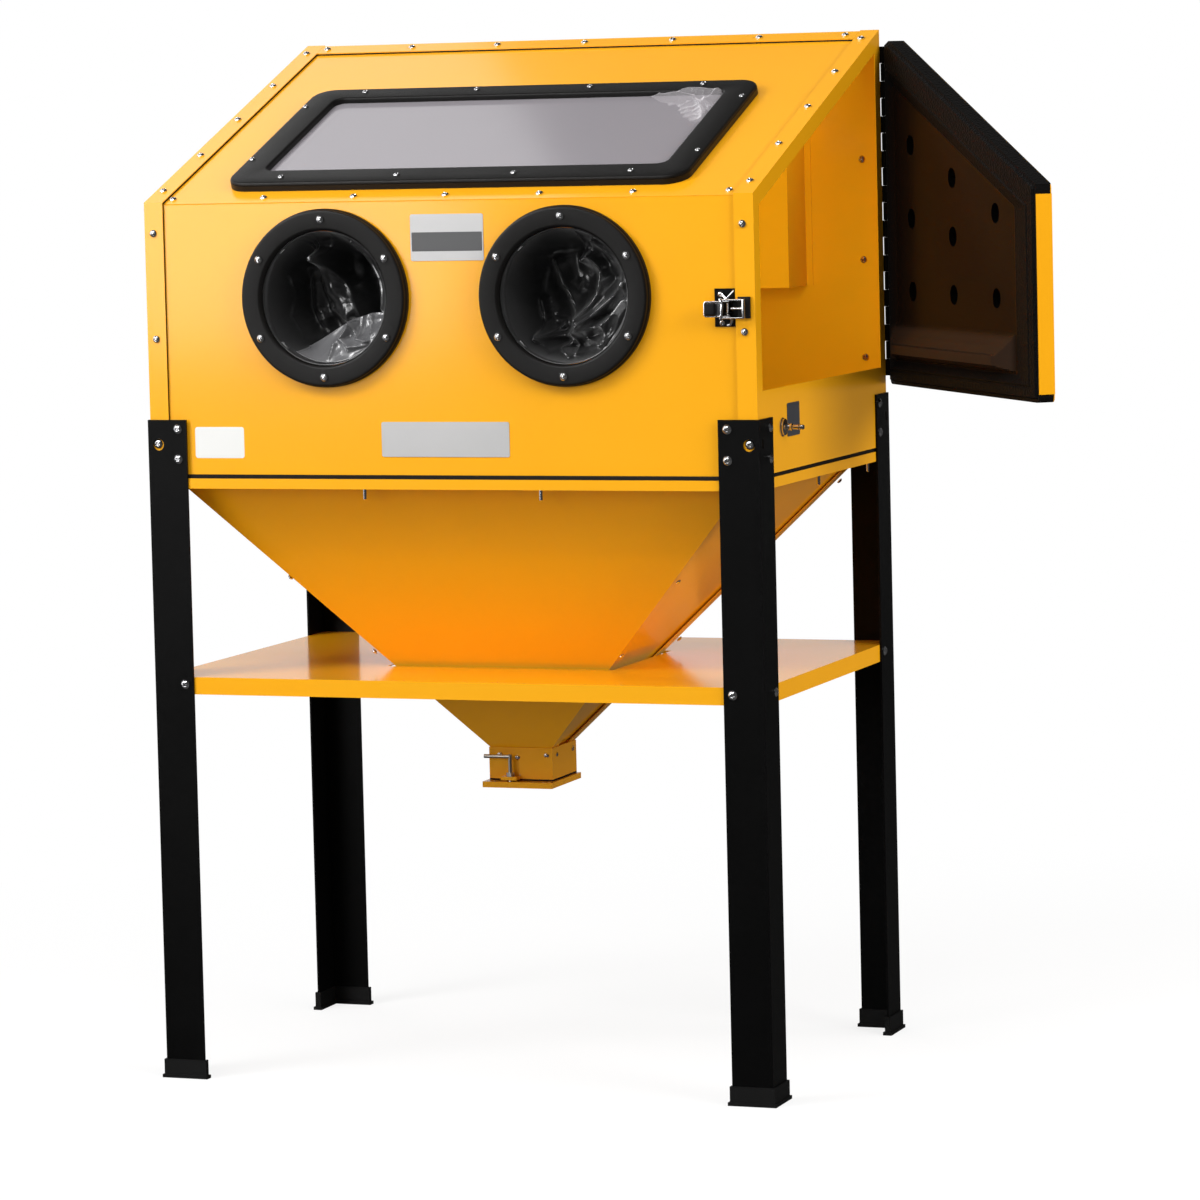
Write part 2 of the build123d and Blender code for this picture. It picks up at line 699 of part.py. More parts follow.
# ---------------------------------------------------------------- inside the chamber
grate_x = (sheet + grate_gap, cabinet_width - sheet - grate_gap)
grate_y = (panel_back + grate_gap, cabinet_depth - panel_back - grate_gap)
grate_z = (chamber_bottom + sheet, chamber_bottom + sheet + grate_height)
with BuildPart() as work_grate:
    for rail in ((grate_y[0], grate_y[0] + grate_rail), (grate_y[1] - grate_rail, grate_y[1])):
        box_between(grate_x, rail, grate_z)
with BuildPart() as grate_strip:
    with BuildSketch(floor.offset(grate_z[0])):
        with Locations((cabinet_width / 2, cabinet_depth / 2)):
            with GridLocations(grate_pitch, 1, grate_bars, 1):
                Rectangle(grate_bar, grate_y[1] - grate_y[0] - 2 * grate_rail)
    extrude(amount=grate_height)
finish(Compound([*work_grate.solids(), *grate_strip.solids()]), "work_grate")

baffle_x = (baffle_right - baffle_width, baffle_right)
with BuildPart() as extraction_baffle:
    box_between(baffle_x, (rear_back - baffle_depth, rear_back), (baffle_low, baffle_high))
    box_between((baffle_x[0] + sheet, baffle_x[1] - sheet), (rear_back - baffle_depth + sheet, rear_back),
                (baffle_low + sheet, baffle_high), mode=Mode.SUBTRACT)
    for edge in ((baffle_x[0] - baffle_edge, baffle_x[0]), (baffle_x[1], baffle_x[1] + baffle_edge)):
        box_between(edge, (rear_back - sheet, rear_back), (baffle_low, baffle_high))
finish(extraction_baffle.part, "extraction_baffle")

with BuildPart() as extraction_spigot:
    with BuildSketch(rear.offset(panel_back)):
        with Locations((baffle_right - baffle_width / 2, duct_height)):
            Circle(duct_radius)
            Circle(duct_radius - duct_wall, mode=Mode.SUBTRACT)
    extrude(amount=-duct_length - panel_back)
    with BuildSketch(rear.offset(recess)):
        with Locations((baffle_right - baffle_width / 2, duct_height)):
            Rectangle(duct_plate, duct_plate)
            Circle(duct_radius - duct_wall, mode=Mode.SUBTRACT)
    extrude(amount=-sheet)
finish(extraction_spigot.part, "extraction_spigot")

with BuildPart() as air_inlet:
    with BuildSketch(right):
        with Locations((inlet_depth, inlet_height)):
            Circle(inlet_flange_radius)
    extrude(amount=inlet_flange_thickness)
    for radius, length in ((inlet_neck_radius, inlet_neck_length), (inlet_plug_radius, inlet_length)):
        with BuildSketch(right):
            with Locations((inlet_depth, inlet_height)):
                Circle(radius)
        extrude(amount=length)
finish(air_inlet.part, "air_inlet")

# ---------------------------------------------------------------- hinge
axis_point = (cabinet_width + hinge_offset, cabinet_depth + hinge_offset)
door_floor = Plane(origin=door_plane.origin, x_dir=door_plane.x_dir, z_dir=(0, 0, 1))
door_edge_top = slope_height(cabinet_depth + hinge_offset - door_crown) - door_drop - door_crown_fall
barrel_count = int((door_edge_top - hinge_bottom - barrel_length) / barrel_pitch) + 1
hinge_top = hinge_bottom + (barrel_count - 1) * barrel_pitch + barrel_length
leaf_clear = barrel_radius + 2 * hinge_running_gap + fit_gap


def door_box(along, out, z, mode=Mode.ADD):
    """A block of the door: along it from the hinge axis, outwards from the hinge axis, and in height."""
    with BuildSketch(door_floor.offset(z[0])) as base:
        with Locations(((along[0] + along[1]) / 2, (out[0] + out[1]) / 2)):
            Rectangle(along[1] - along[0], out[1] - out[0])
    extrude(base.sketch, amount=z[1] - z[0], mode=mode)


def hinge_barrel(level, length):
    """One rolled barrel on the hinge axis, round the pin."""
    with BuildSketch(floor.offset(level)) as barrel:
        with Locations(axis_point):
            RegularPolygon(barrel_radius, barrel_sides)
    extrude(barrel.sketch, amount=length)


def hinge_bore():
    """The bore of all the barrels of a leaf, with the running gap at its flats."""
    with BuildSketch(floor.offset(hinge_bottom)) as bore:
        with Locations(axis_point):
            RegularPolygon(hinge_pin_radius + hinge_running_gap, barrel_sides, major_radius=False)
    extrude(bore.sketch, amount=hinge_top - hinge_bottom, mode=Mode.SUBTRACT)


with BuildPart() as hinge_frame_leaf:
    leaf_y = (cabinet_depth, cabinet_depth + leaf_thickness)
    leaf_end = cabinet_width + hinge_offset - leaf_clear
    box_between((leaf_end - leaf_width, leaf_end), leaf_y, (hinge_bottom, hinge_top))
    for index in range(barrel_count):
        level = hinge_bottom + index * barrel_pitch
        box_between((leaf_end, cabinet_width + hinge_offset), leaf_y, (level, level + barrel_length))
        hinge_barrel(level, barrel_length)
    hinge_bore()
finish(hinge_frame_leaf.part, "hinge_frame_leaf")

with BuildPart() as hinge_door_leaf:
    leaf_along = (barrel_radius - leaf_thickness, barrel_radius)
    door_box(leaf_along, (leaf_clear, door_outside), (hinge_bottom, hinge_top))
    for index in range(barrel_count - 1):
        level = hinge_bottom + index * barrel_pitch + barrel_length + barrel_gap
        length = barrel_pitch - barrel_length - 2 * barrel_gap
        door_box(leaf_along, (0, leaf_clear), (level, level + length))
        hinge_barrel(level, length)
    hinge_bore()
finish(hinge_door_leaf.part, "hinge_door_leaf")

with BuildPart() as hinge_pin:
    with BuildSketch(floor.offset(hinge_bottom)):
        with Locations(axis_point):
            Circle(hinge_pin_radius)
    extrude(amount=hinge_top - hinge_bottom)
finish(hinge_pin.part, "hinge_pin")

# ---------------------------------------------------------------- door
door_near = barrel_radius
crown_top = slope_height(cabinet_depth + hinge_offset - door_crown) - door_drop
free_top = slope_height(cabinet_depth + hinge_offset - door_length) - door_drop
door_fall = (crown_top - free_top) / (door_length - door_crown)
door_outline = [
    (door_near, door_bottom),
    (door_length, door_bottom),
    (door_length, free_top),
    (door_crown, crown_top),
    (door_near, crown_top - door_crown_fall),
]


def door_top(along, drop=0):
    """Height of the door's sloping edge, or of a line that runs below it."""
    return crown_top - (along - door_crown) * door_fall - drop


recess_start = door_near + liner_rim
recess_end = door_length - liner_end_rim
recess_low = door_bottom + liner_low_rim
recess_floor = door_inside - liner_recess_depth
moulding_back = door_inside - liner_step
ledge_tip = door_inside + ledge_reach
ledge_end = recess_end - liner_end_bevel
ledge_plane = Plane(
    origin=door_plane.from_local_coords((ledge_end, 0, 0)),
    x_dir=door_plane.z_dir,
    z_dir=-door_plane.x_dir,
)
top_bevel_plane = Plane(
    origin=door_plane.from_local_coords((recess_end, door_top(recess_end, liner_top_rim), 0)),
    x_dir=door_plane.z_dir,
    z_dir=(door_plane.y_dir * door_fall - door_plane.x_dir).normalized(),
)

# The hollow of the liner: a flat bottom, an upright side at the hinge and three sloping sides.
with BuildPart() as liner_recess:
    extrude(polygon(door_plane.offset(door_inside), [
        (recess_start, recess_low),
        (recess_end, recess_low),
        (recess_end, door_top(recess_end, liner_top_rim)),
        (recess_start, door_top(recess_start, liner_top_rim)),
    ]), amount=-liner_recess_depth)
    end_bevel = polygon(door_floor.offset(recess_low), [
        (recess_end, -door_inside),
        (recess_end, -recess_floor),
        (recess_end - liner_end_bevel, -recess_floor),
    ])
    extrude(end_bevel, amount=crown_top - recess_low, mode=Mode.SUBTRACT)
    low_bevel = polygon(ledge_plane, [
        (door_inside, recess_low),
        (recess_floor, recess_low),
        (recess_floor, recess_low + liner_low_bevel),
    ])
    extrude(low_bevel, amount=door_length, both=True, mode=Mode.SUBTRACT)
    top_bevel = polygon(top_bevel_plane, [
        (door_inside, 0),
        (recess_floor, 0),
        (recess_floor, -liner_top_bevel),
    ])
    extrude(top_bevel, amount=door_length, both=True, mode=Mode.SUBTRACT)

with BuildPart() as door_liner:
    with BuildSketch(door_plane.offset(moulding_back)):
        with BuildLine():
            Polyline(*door_outline, close=True)
        make_face()
        fillet(vertices(), radius=door_corner_radius)
    extrude(amount=liner_step - door_thickness)
    with BuildSketch(door_plane.offset(moulding_back)):
        with BuildLine():
            Polyline(*door_outline, close=True)
        make_face()
        offset(amount=-liner_inset, kind=Kind.INTERSECTION)
        fillet(vertices(), radius=door_corner_radius)
    extrude(amount=liner_step)
    moulding_face = door_liner.faces().sort_by(Axis((0, 0, 0), door_plane.z_dir))[-1]
    chamfer(moulding_face.outer_wire().edges(), length=liner_edge)
    add(liner_recess.part, mode=Mode.SUBTRACT)
    with BuildSketch(door_plane.offset(recess_floor)):
        for column, (count, pitch) in enumerate(pocket_columns):
            along = door_near + pocket_inset + column * pocket_column_pitch
            with Locations((along, door_bottom + pocket_lowest + (count - 1) * pitch / 2)):
                with GridLocations(1, pitch, 1, count):
                    Circle(pocket_radius)
    extrude(amount=-pocket_depth, mode=Mode.SUBTRACT)
    with BuildSketch(ledge_plane):
        with BuildLine():
            Polyline(
                (recess_floor, ledge_height),
                (ledge_tip, ledge_height - ledge_fall),
                (ledge_tip, ledge_height - ledge_fall - ledge_face),
                (recess_floor, ledge_root),
                close=True,
            )
        make_face()
        fillet(vertices().sort_by(Axis.X)[-2:], radius=ledge_round)
    extrude(amount=ledge_end - recess_start)
    ledge_cuts = (
        [(ledge_end, -recess_floor), (ledge_end, -ledge_tip), (ledge_end - ledge_end_slant, -ledge_tip)],
        [(recess_start, -door_inside), (recess_start, -ledge_tip), (recess_start + ledge_setback, -ledge_tip),
         (recess_start + ledge_setback, -door_inside)],
    )
    for cut in ledge_cuts:
        extrude(polygon(door_floor.offset(ledge_root), cut), amount=ledge_height - ledge_root, mode=Mode.SUBTRACT)
finish(door_liner.part, "door_liner")

with BuildPart() as door_skin:
    with BuildSketch(door_plane.offset(-door_outside)):
        with BuildLine():
            Polyline(*door_outline, close=True)
        make_face()
        fillet(vertices(), radius=door_corner_radius)
    extrude(amount=-sheet)
    door_box((door_length, door_length + sheet), (-moulding_back, door_outside + sheet),
             (door_flange_low, door_flange_high))
finish(door_skin.part, "door_skin")

# ---------------------------------------------------------------- latch
latch_x = field_x[1] - fit_gap - latch_pivot_inset
latch_y = recess - latch_pivot_out
link = (latch_x - latch_link_back, latch_y - latch_link_out)
ear_half = latch_ear_width / 2
lever_half = ear_half + latch_cheek_gap + latch_cheek
claw_half = lever_half + latch_cheek_gap + latch_claw_thickness
lever_face = latch_y - latch_lever_out
latch_bore = latch_pin_radius + hinge_running_gap


def latch_slab(points, half, thickness):
    """The same plate twice, above and below the latch's middle, with its outer faces at the half width."""
    for level in (latch_height - half, latch_height + half - thickness):
        extrude(polygon(floor.offset(level), points), amount=thickness)


def latch_drill(place, radius):
    """A hole right through the latch, along a pivot."""
    with BuildSketch(floor.offset(latch_height - latch_base_height)) as hole:
        with Locations(place):
            Circle(radius)
    extrude(hole.sketch, amount=2 * latch_base_height, mode=Mode.SUBTRACT)


def latch_pivot_pin(place, half):
    """A pin along a pivot, ending at the half width."""
    with BuildSketch(floor.offset(latch_height - half)) as section:
        with Locations(place):
            Circle(latch_pin_radius)
    extrude(section.sketch, amount=2 * half)


with BuildPart() as latch_base:
    base_right = latch_x + latch_pivot_inset
    box_between((base_right - latch_base_width, base_right), (recess - latch_plate, recess),
                (latch_height - latch_base_height / 2, latch_height + latch_base_height / 2))
    latch_slab([
        (latch_x - latch_ear_radius, recess - latch_plate),
        (latch_x - latch_ear_radius, latch_y),
        (latch_x + latch_ear_radius, latch_y),
        (latch_x + latch_ear_radius, recess - latch_plate),
    ], ear_half, latch_ear_thickness)
    for level in (latch_height - ear_half, latch_height + ear_half - latch_ear_thickness):
        with BuildSketch(floor.offset(level)):
            with Locations((latch_x, latch_y)):
                Circle(latch_ear_radius)
        extrude(amount=latch_ear_thickness)
    latch_drill((latch_x, latch_y), latch_bore)
finish(latch_base.part, "latch_base")

with BuildPart() as latch_pin:
    latch_pivot_pin((latch_x, latch_y), lever_half)
finish(latch_pin.part, "latch_pin")

with BuildPart() as latch_lever:
    lever_end = latch_x - latch_lever_length
    plate_end = latch_x - latch_ear_radius
    lever_back = lever_face + latch_cheek
    box_between((lever_end, plate_end), (lever_face, lever_back),
                (latch_height - lever_half, latch_height + lever_half))
    latch_slab([
        (lever_end, lever_face),
        (plate_end, lever_face),
        (latch_x + latch_ear_radius, latch_y - latch_ear_radius),
        (latch_x + latch_ear_radius, latch_y + latch_ear_radius),
        (latch_x - latch_ear_radius, latch_y + latch_ear_radius),
        (lever_end, lever_back + 2 * latch_cheek),
    ], lever_half, latch_cheek)
    latch_drill((latch_x, latch_y), latch_bore)
    latch_drill(link, latch_bore)
finish(latch_lever.part, "latch_lever")

with BuildPart() as latch_grip:
    box_between((lever_end, lever_end + latch_grip_length), (lever_face - latch_grip_thickness, lever_face),
                (latch_height - lever_half, latch_height + lever_half))
    outer = latch_grip.faces().sort_by(Axis.Y)[0].edges()
    fillet(outer, radius=latch_grip_thickness / 2)
finish(latch_grip.part, "latch_grip")

with BuildPart() as latch_claw:
    claw_tip = latch_x + latch_claw_length
    arm_out = link[1] - latch_claw_arm / 2
    latch_slab([
        (link[0] - latch_claw_arm / 2, arm_out),
        (claw_tip, arm_out),
        (claw_tip, arm_out + latch_claw_arm),
        (link[0] - latch_claw_arm / 2, arm_out + latch_claw_arm),
    ], claw_half, latch_claw_thickness)
    box_between((claw_tip - latch_claw_bridge, claw_tip), (arm_out, arm_out + latch_claw_thickness),
                (latch_height - claw_half, latch_height + claw_half))
    box_between((claw_tip - latch_claw_thickness, claw_tip), (arm_out, arm_out + latch_claw_arm + latch_claw_hook),
                (latch_height - claw_half, latch_height + claw_half))
    latch_pivot_pin(link, claw_half)
finish(latch_claw.part, "latch_claw")

with BuildPart() as latch_pad:
    pad_x = (cabinet_width - latch_pad_inset - latch_pad_width, cabinet_width - latch_pad_inset)
    box_between(pad_x, (-latch_pad_thickness, 0),
                (latch_height - latch_pad_height / 2, latch_height + latch_pad_height / 2))
    chamfer(latch_pad.faces().sort_by(Axis.Y)[0].edges(), length=latch_pad_edge)
finish(latch_pad.part, "latch_pad")
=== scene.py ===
from math import cos, hypot, pi, radians, sin

import bmesh
import bpy
import numpy as np
from mathutils import Matrix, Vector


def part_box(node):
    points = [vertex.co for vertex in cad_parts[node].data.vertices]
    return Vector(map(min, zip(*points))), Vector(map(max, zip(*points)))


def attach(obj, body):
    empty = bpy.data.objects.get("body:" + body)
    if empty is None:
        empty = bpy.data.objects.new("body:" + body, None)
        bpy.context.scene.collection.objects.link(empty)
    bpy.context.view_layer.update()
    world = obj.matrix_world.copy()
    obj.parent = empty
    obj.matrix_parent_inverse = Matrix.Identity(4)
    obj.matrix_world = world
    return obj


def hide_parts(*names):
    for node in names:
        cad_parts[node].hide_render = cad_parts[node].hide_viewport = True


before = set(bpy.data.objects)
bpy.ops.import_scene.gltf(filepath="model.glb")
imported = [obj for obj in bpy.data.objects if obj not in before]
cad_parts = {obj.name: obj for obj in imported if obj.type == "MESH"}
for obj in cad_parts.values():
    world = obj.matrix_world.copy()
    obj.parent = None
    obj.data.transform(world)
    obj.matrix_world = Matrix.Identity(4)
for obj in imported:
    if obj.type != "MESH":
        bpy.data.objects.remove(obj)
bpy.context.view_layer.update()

# ------------------------------------------------------------------ studio
# A white sweep under the machine, with a camera a little to the right of the front, and soft
# boxes to the left, above and behind, which the glossy coat picks up as pale sheens.
corner_low = np.array(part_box("side_panel_left")[0])
origin = np.array([corner_low[0], corner_low[1], 0.0])


def at(x, y, z):
    """Points in the frame, in metres, from millimetres off the chamber's front left corner at the floor."""
    return origin + np.stack(np.broadcast_arrays(x, y, z), axis=-1) / 1000


def corners(node):
    """The lowest and highest corners of a CAD node, in millimetres off the same corner."""
    return [1000 * (np.array(corner) - origin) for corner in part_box(node)]


def add_object(name, data):
    """A new object in the scene's collection."""
    thing = bpy.data.objects.new(name, data)
    bpy.context.scene.collection.objects.link(thing)
    return thing


def aim(thing, place, target, up=(0, 0, 1)):
    """Places an object and turns its -Z axis towards the target."""
    back = np.array(place, float) - np.array(target, float)
    back /= np.linalg.norm(back)
    side = np.cross(up, back)
    side /= np.linalg.norm(side)
    over = np.cross(back, side)
    pose = np.eye(4)
    pose[:3, :3] = np.stack([side, over, back], axis=1)
    pose[:3, 3] = place
    thing.matrix_world = Matrix(pose.tolist())


def soft_box(name, place, target, width, height, power, colour=(1, 1, 1), hidden=False):
    """A rectangular lamp, sizes in metres and power in watts. A hidden one lights but is never mirrored."""
    lamp = bpy.data.lights.new(name, "AREA")
    lamp.shape = "RECTANGLE"
    lamp.size = width
    lamp.size_y = height
    lamp.energy = power
    lamp.color = colour
    stand = add_object(name, lamp)
    stand.visible_camera = stand.visible_glossy = stand.visible_transmission = not hidden
    aim(stand, place, target)


scene = bpy.context.scene
scene.view_settings.view_transform = "Standard"

camera_yaw, camera_pitch, camera_roll = -0.35665, 0.07131, -0.02387
level_ahead = np.array([sin(camera_yaw), cos(camera_yaw), 0])
level_right = np.array([cos(camera_yaw), -sin(camera_yaw), 0])
straight_up = np.array([0, 0, 1.0])
ahead = cos(camera_pitch) * level_ahead - sin(camera_pitch) * straight_up
upright = sin(camera_pitch) * level_ahead + cos(camera_pitch) * straight_up
rightward = cos(camera_roll) * level_right + sin(camera_roll) * upright
upward = -sin(camera_roll) * level_right + cos(camera_roll) * upright
lens = bpy.data.cameras.new("camera")
lens.sensor_width = 36
lens.lens = 149.13
lens.shift_y = -0.12
lens.clip_end = 100
camera = add_object("camera", lens)
camera_pose = np.eye(4)
camera_pose[:3, :3] = np.stack([rightward, upward, -ahead], axis=1)
camera_pose[:3, 3] = at(3227.1, -6735.0, 1456.8)
camera.matrix_world = Matrix(camera_pose.tolist())
scene.camera = camera

warm_white, day_white = (1.0, 0.97, 0.92), (1.0, 0.985, 0.96)
soft_box("left_front_box", (-3.0, -4.4, 1.95), (-0.3, 0.0, 1.0), 2.3, 2.2, 75)
soft_box("left_near_box", (-2.3, -2.2, 3.0), (-0.4, 0.0, 1.2), 1.2, 1.2, 60)
soft_box("upper_rear_box", (-3.0, 3.0, 4.2), (-0.3, 0.0, 1.4), 2.2, 1.8, 11)
soft_box("overhead_box", (-0.5, -3.3, 4.9), (0.0, 0.0, 0.9), 2.8, 2.0, 66)
soft_box("right_box", (4.9, -2.1, 3.1), (0.2, 0.1, 1.0), 2.4, 2.4, 178, day_white, hidden=True)
soft_box("side_low_box", (2.0, 0.7, 0.8), (0.3, 0.2, 0.93), 0.6, 0.5, 11, warm_white, hidden=True)
soft_box("chamber_box", at(905, 75, 1180), at(800, 622, 1190), 0.06, 0.24, 1.2, warm_white, hidden=True)


def add_node(tree, kind, values=(), **settings):
    """A shader node with its settings, and with values for its inputs, each by its name or number.

    A value is a number, a colour of three numbers, or another node's output to wire in.
    """
    node = tree.nodes.new(kind)
    for name, setting in settings.items():
        setattr(node, name, setting)
    for name, value in dict(values).items():
        if isinstance(value, bpy.types.NodeSocket):
            tree.links.new(value, node.inputs[name])
        else:
            node.inputs[name].default_value = (*value, 1) if isinstance(value, tuple) else value
    return node


def maths(tree, operation, *values):
    """What a Math node works out from numbers or other nodes' outputs."""
    return add_node(tree, "ShaderNodeMath", dict(enumerate(values)), operation=operation).outputs["Value"]


def fade(tree, value, low, high, at_low, at_high, way="LINEAR"):
    """A value that goes from at_low to at_high as the input goes from low to high, and stays there."""
    ends = {"Value": value, "From Min": low, "From Max": high, "To Min": at_low, "To Max": at_high}
    return add_node(tree, "ShaderNodeMapRange", ends, interpolation_type=way).outputs["Result"]


def blend(tree, share, first, second):
    """A colour between two colours: the first at a share of 0 and the second at 1."""
    ends = {"Factor": share, "A": first, "B": second}
    return add_node(tree, "ShaderNodeMix", ends, data_type="RGBA").outputs["Result"]


def bare_material(name):
    """A new material, and its node tree with nothing in it."""
    material = bpy.data.materials.new(name)
    material.use_nodes = True
    material.node_tree.nodes.clear()
    return material, material.node_tree


def show(tree, surface):
    """Makes a shader's output the material's surface."""
    add_node(tree, "ShaderNodeOutputMaterial", {"Surface": surface})


world = bpy.data.worlds.new("studio_world")
scene.world = world
world.use_nodes = True
sky_tree = world.node_tree
sky_tree.nodes.clear()
sky_path = add_node(sky_tree, "ShaderNodeLightPath").outputs
sky_way = add_node(sky_tree, "ShaderNodeTexCoord").outputs["Generated"]
sky_axes = add_node(sky_tree, "ShaderNodeSeparateXYZ", {"Vector": sky_way}).outputs
overhead = fade(sky_tree, sky_axes["Z"], -0.1, 0.9, 0.13, 0.75, "SMOOTHSTEP")
paper_behind = fade(sky_tree, sky_axes["Y"], 0.2, 0.7, 0, 1, "SMOOTHSTEP")
paper_left = fade(sky_tree, sky_axes["X"], -0.15, 0.15, 1, 0, "SMOOTHSTEP")
paper_low = fade(sky_tree, sky_axes["Z"], 0.22, 0.45, 1, 0.1, "SMOOTHSTEP")
paper = maths(sky_tree, "MULTIPLY", paper_behind, maths(sky_tree, "MULTIPLY", paper_left, paper_low))
far_left = fade(sky_tree, sky_axes["X"], -0.80, -0.52, 1.1, 0.05, "SMOOTHSTEP")
mirrored = maths(sky_tree, "MAXIMUM", fade(sky_tree, paper, 0, 1, 0.05, 0.7), far_left)
seen = maths(sky_tree, "MAXIMUM", sky_path["Is Camera Ray"], sky_path["Is Transmission Ray"])
lit = add_node(sky_tree, "ShaderNodeMix", {"Factor": sky_path["Is Glossy Ray"], "A": overhead, "B": mirrored})
glow = maths(sky_tree, "MAXIMUM", seen, lit.outputs["Result"])
sky = add_node(sky_tree, "ShaderNodeBackground", {"Color": (1, 1, 1), "Strength": glow})
add_node(sky_tree, "ShaderNodeOutputWorld", {"Surface": sky.outputs["Background"]})

floor_reach = 9.0
floor_mesh = bpy.data.meshes.new("floor")
floor_mesh.from_pydata(
    [(-floor_reach, -floor_reach, 0), (floor_reach, -floor_reach, 0),
     (floor_reach, floor_reach, 0), (-floor_reach, floor_reach, 0)],
    [], [(0, 1, 2, 3)])
floor = add_object("floor", floor_mesh)
floor_paint, tree = bare_material("floor_paint")
floor_path = add_node(tree, "ShaderNodeLightPath").outputs
floor_place = add_node(tree, "ShaderNodeTexCoord").outputs["Object"]
floor_distance = add_node(tree, "ShaderNodeVectorMath", {0: floor_place}, operation="LENGTH").outputs["Value"]
floor_seen = blend(tree, floor_path["Is Camera Ray"], (0.26, 0.26, 0.26), (0.92, 0.92, 0.92))
floor_colour = blend(tree, floor_path["Is Glossy Ray"], floor_seen, (0.05, 0.05, 0.05))
floor_matt = add_node(tree, "ShaderNodeBsdfDiffuse", {"Color": floor_colour}).outputs["BSDF"]
floor_white = add_node(tree, "ShaderNodeEmission", {"Color": (1, 1, 1), "Strength": 1.0}).outputs["Emission"]
far_white = fade(tree, floor_distance, 0.9, 2.2, 0.80, 1.0)
whiteness = maths(tree, "MULTIPLY", far_white, floor_path["Is Camera Ray"])
floor_look = add_node(tree, "ShaderNodeMixShader", {0: whiteness, 1: floor_matt, 2: floor_white})
show(tree, floor_look.outputs["Shader"])
floor_mesh.materials.append(floor_paint)

# ------------------------------------------------------------------ sheet-metal chamber
# The panels are folded from 1.5 mm steel and sprayed with a glossy yellow powder coat, whose
# faint orange peel breaks up reflections. The work grate inside is bare steel.
peel = bpy.data.node_groups.new("orange_peel", "ShaderNodeTree")
for name, start in (("Scale", 300.0), ("Height", 0.02)):
    peel.interface.new_socket(name=name, in_out="INPUT", socket_type="NodeSocketFloat").default_value = start
for name, kind in (("Normal", "NodeSocketVector"), ("Cloud", "NodeSocketFloat")):
    peel.interface.new_socket(name=name, in_out="OUTPUT", socket_type=kind)
peel_given = add_node(peel, "NodeGroupInput").outputs
peel_place = add_node(peel, "ShaderNodeTexCoord").outputs["Object"]
peel_noise = add_node(peel, "ShaderNodeTexNoise",
                      {"Vector": peel_place, "Scale": peel_given["Scale"], "Detail": 2.0}).outputs["Fac"]
peel_bump = add_node(peel, "ShaderNodeBump",
                     {"Strength": peel_given["Height"], "Distance": 0.001, "Height": peel_noise})
peel_cloud = add_node(peel, "ShaderNodeTexNoise", {"Vector": peel_place, "Scale": 7.0, "Detail": 4.0})
add_node(peel, "NodeGroupOutput", {"Normal": peel_bump.outputs["Normal"], "Cloud": peel_cloud.outputs["Fac"]})


def finish_of(name, light, dark, roughness, peel_scale, peel_height, metallic=0.0, coat=0.0,
              coat_roughness=0.05, rough_spread=0.06, specular=0.5):
    """A material whose colour and gloss drift gently between two values, with a fine relief.

    Colour: a blend of the dark and light tones by a cloudy noise. Roughness: the mean plus or minus
    half the spread by the same noise. Relief: a second, fine noise through a bump.
    """
    material, tree = bare_material(name)
    relief = add_node(tree, "ShaderNodeGroup", {"Scale": peel_scale, "Height": peel_height}, node_tree=peel)
    cloud = relief.outputs["Cloud"]
    rough = fade(tree, cloud, 0.3, 0.7, roughness - rough_spread / 2, roughness + rough_spread / 2)
    shader = add_node(tree, "ShaderNodeBsdfPrincipled", {
        "Base Color": blend(tree, cloud, dark, light), "Roughness": rough, "Metallic": metallic,
        "Specular IOR Level": specular, "Coat Weight": coat, "Coat Roughness": coat_roughness,
        "Normal": relief.outputs["Normal"]})
    show(tree, shader.outputs["BSDF"])
    return material


def shader_of(material):
    """The Principled shader of a material."""
    return next(node for node in material.node_tree.nodes if node.type == "BSDF_PRINCIPLED")


def cover(material, *names):
    """Gives CAD nodes a material."""
    for name in names:
        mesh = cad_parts[name].data
        mesh.materials.clear()
        mesh.materials.append(material)


yellow_coat = finish_of("yellow_coat", (0.93, 0.42, 0.007), (0.90, 0.395, 0.006), 0.36, 900, 0.10,
                        coat=0.8, coat_roughness=0.12, specular=0.1)
cover(yellow_coat, "side_panel_left", "side_panel_right", "front_panel", "slope_panel", "rear_panel",
      "funnel_front", "funnel_rear", "funnel_left", "funnel_right", "outlet_box", "hatch_plate",
      "shelf", "extraction_baffle")
grate_steel = finish_of("grate_steel", (0.30, 0.29, 0.28), (0.18, 0.17, 0.16), 0.5, 900, 0.3, metallic=0.9)
cover(grate_steel, "work_grate")

# ------------------------------------------------------------------ seals
# Black closed-cell foam tape fills the seams between the panels and the flanges over them, and
# a thicker strip lies under the chamber, on the rim of the funnel.
foam = finish_of("foam", (0.016, 0.015, 0.014), (0.006, 0.006, 0.006), 0.85, 2500, 0.5,
                 specular=0.2)
cover(foam, "panel_seal", "window_seal", "rim_gasket", "outlet_seal", "latch_pad")

# ------------------------------------------------------------------ panel screws
# Bright zinc-plated pan heads with a cross recess hold the panels to the flanges, about every
# 147 mm. Each is a turned dome on a short rim, with the cross pressed into its top.
bright_zinc = finish_of("bright_zinc", (0.88, 0.88, 0.89), (0.74, 0.74, 0.76), 0.13, 1500, 0.05,
                        metallic=1.0, rough_spread=0.1)
chamber_width, chamber_depth, top_height = corners("side_panel_right")[1]
bend_height = 1321.0
slope_length = hypot(chamber_depth, top_height - bend_height)
slope_run = chamber_depth / slope_length
slope_climb = (top_height - bend_height) / slope_length
slope_out = np.array([0, -slope_climb, slope_run])


def on_slope(x, along, level=0.0):
    """Points on the sloping top: across it, up it from the front fold and above its outer face."""
    along = np.asarray(along)
    face = at(x, along * slope_run, bend_height + along * slope_climb)
    return face + np.multiply.outer(level, slope_out) / 1000


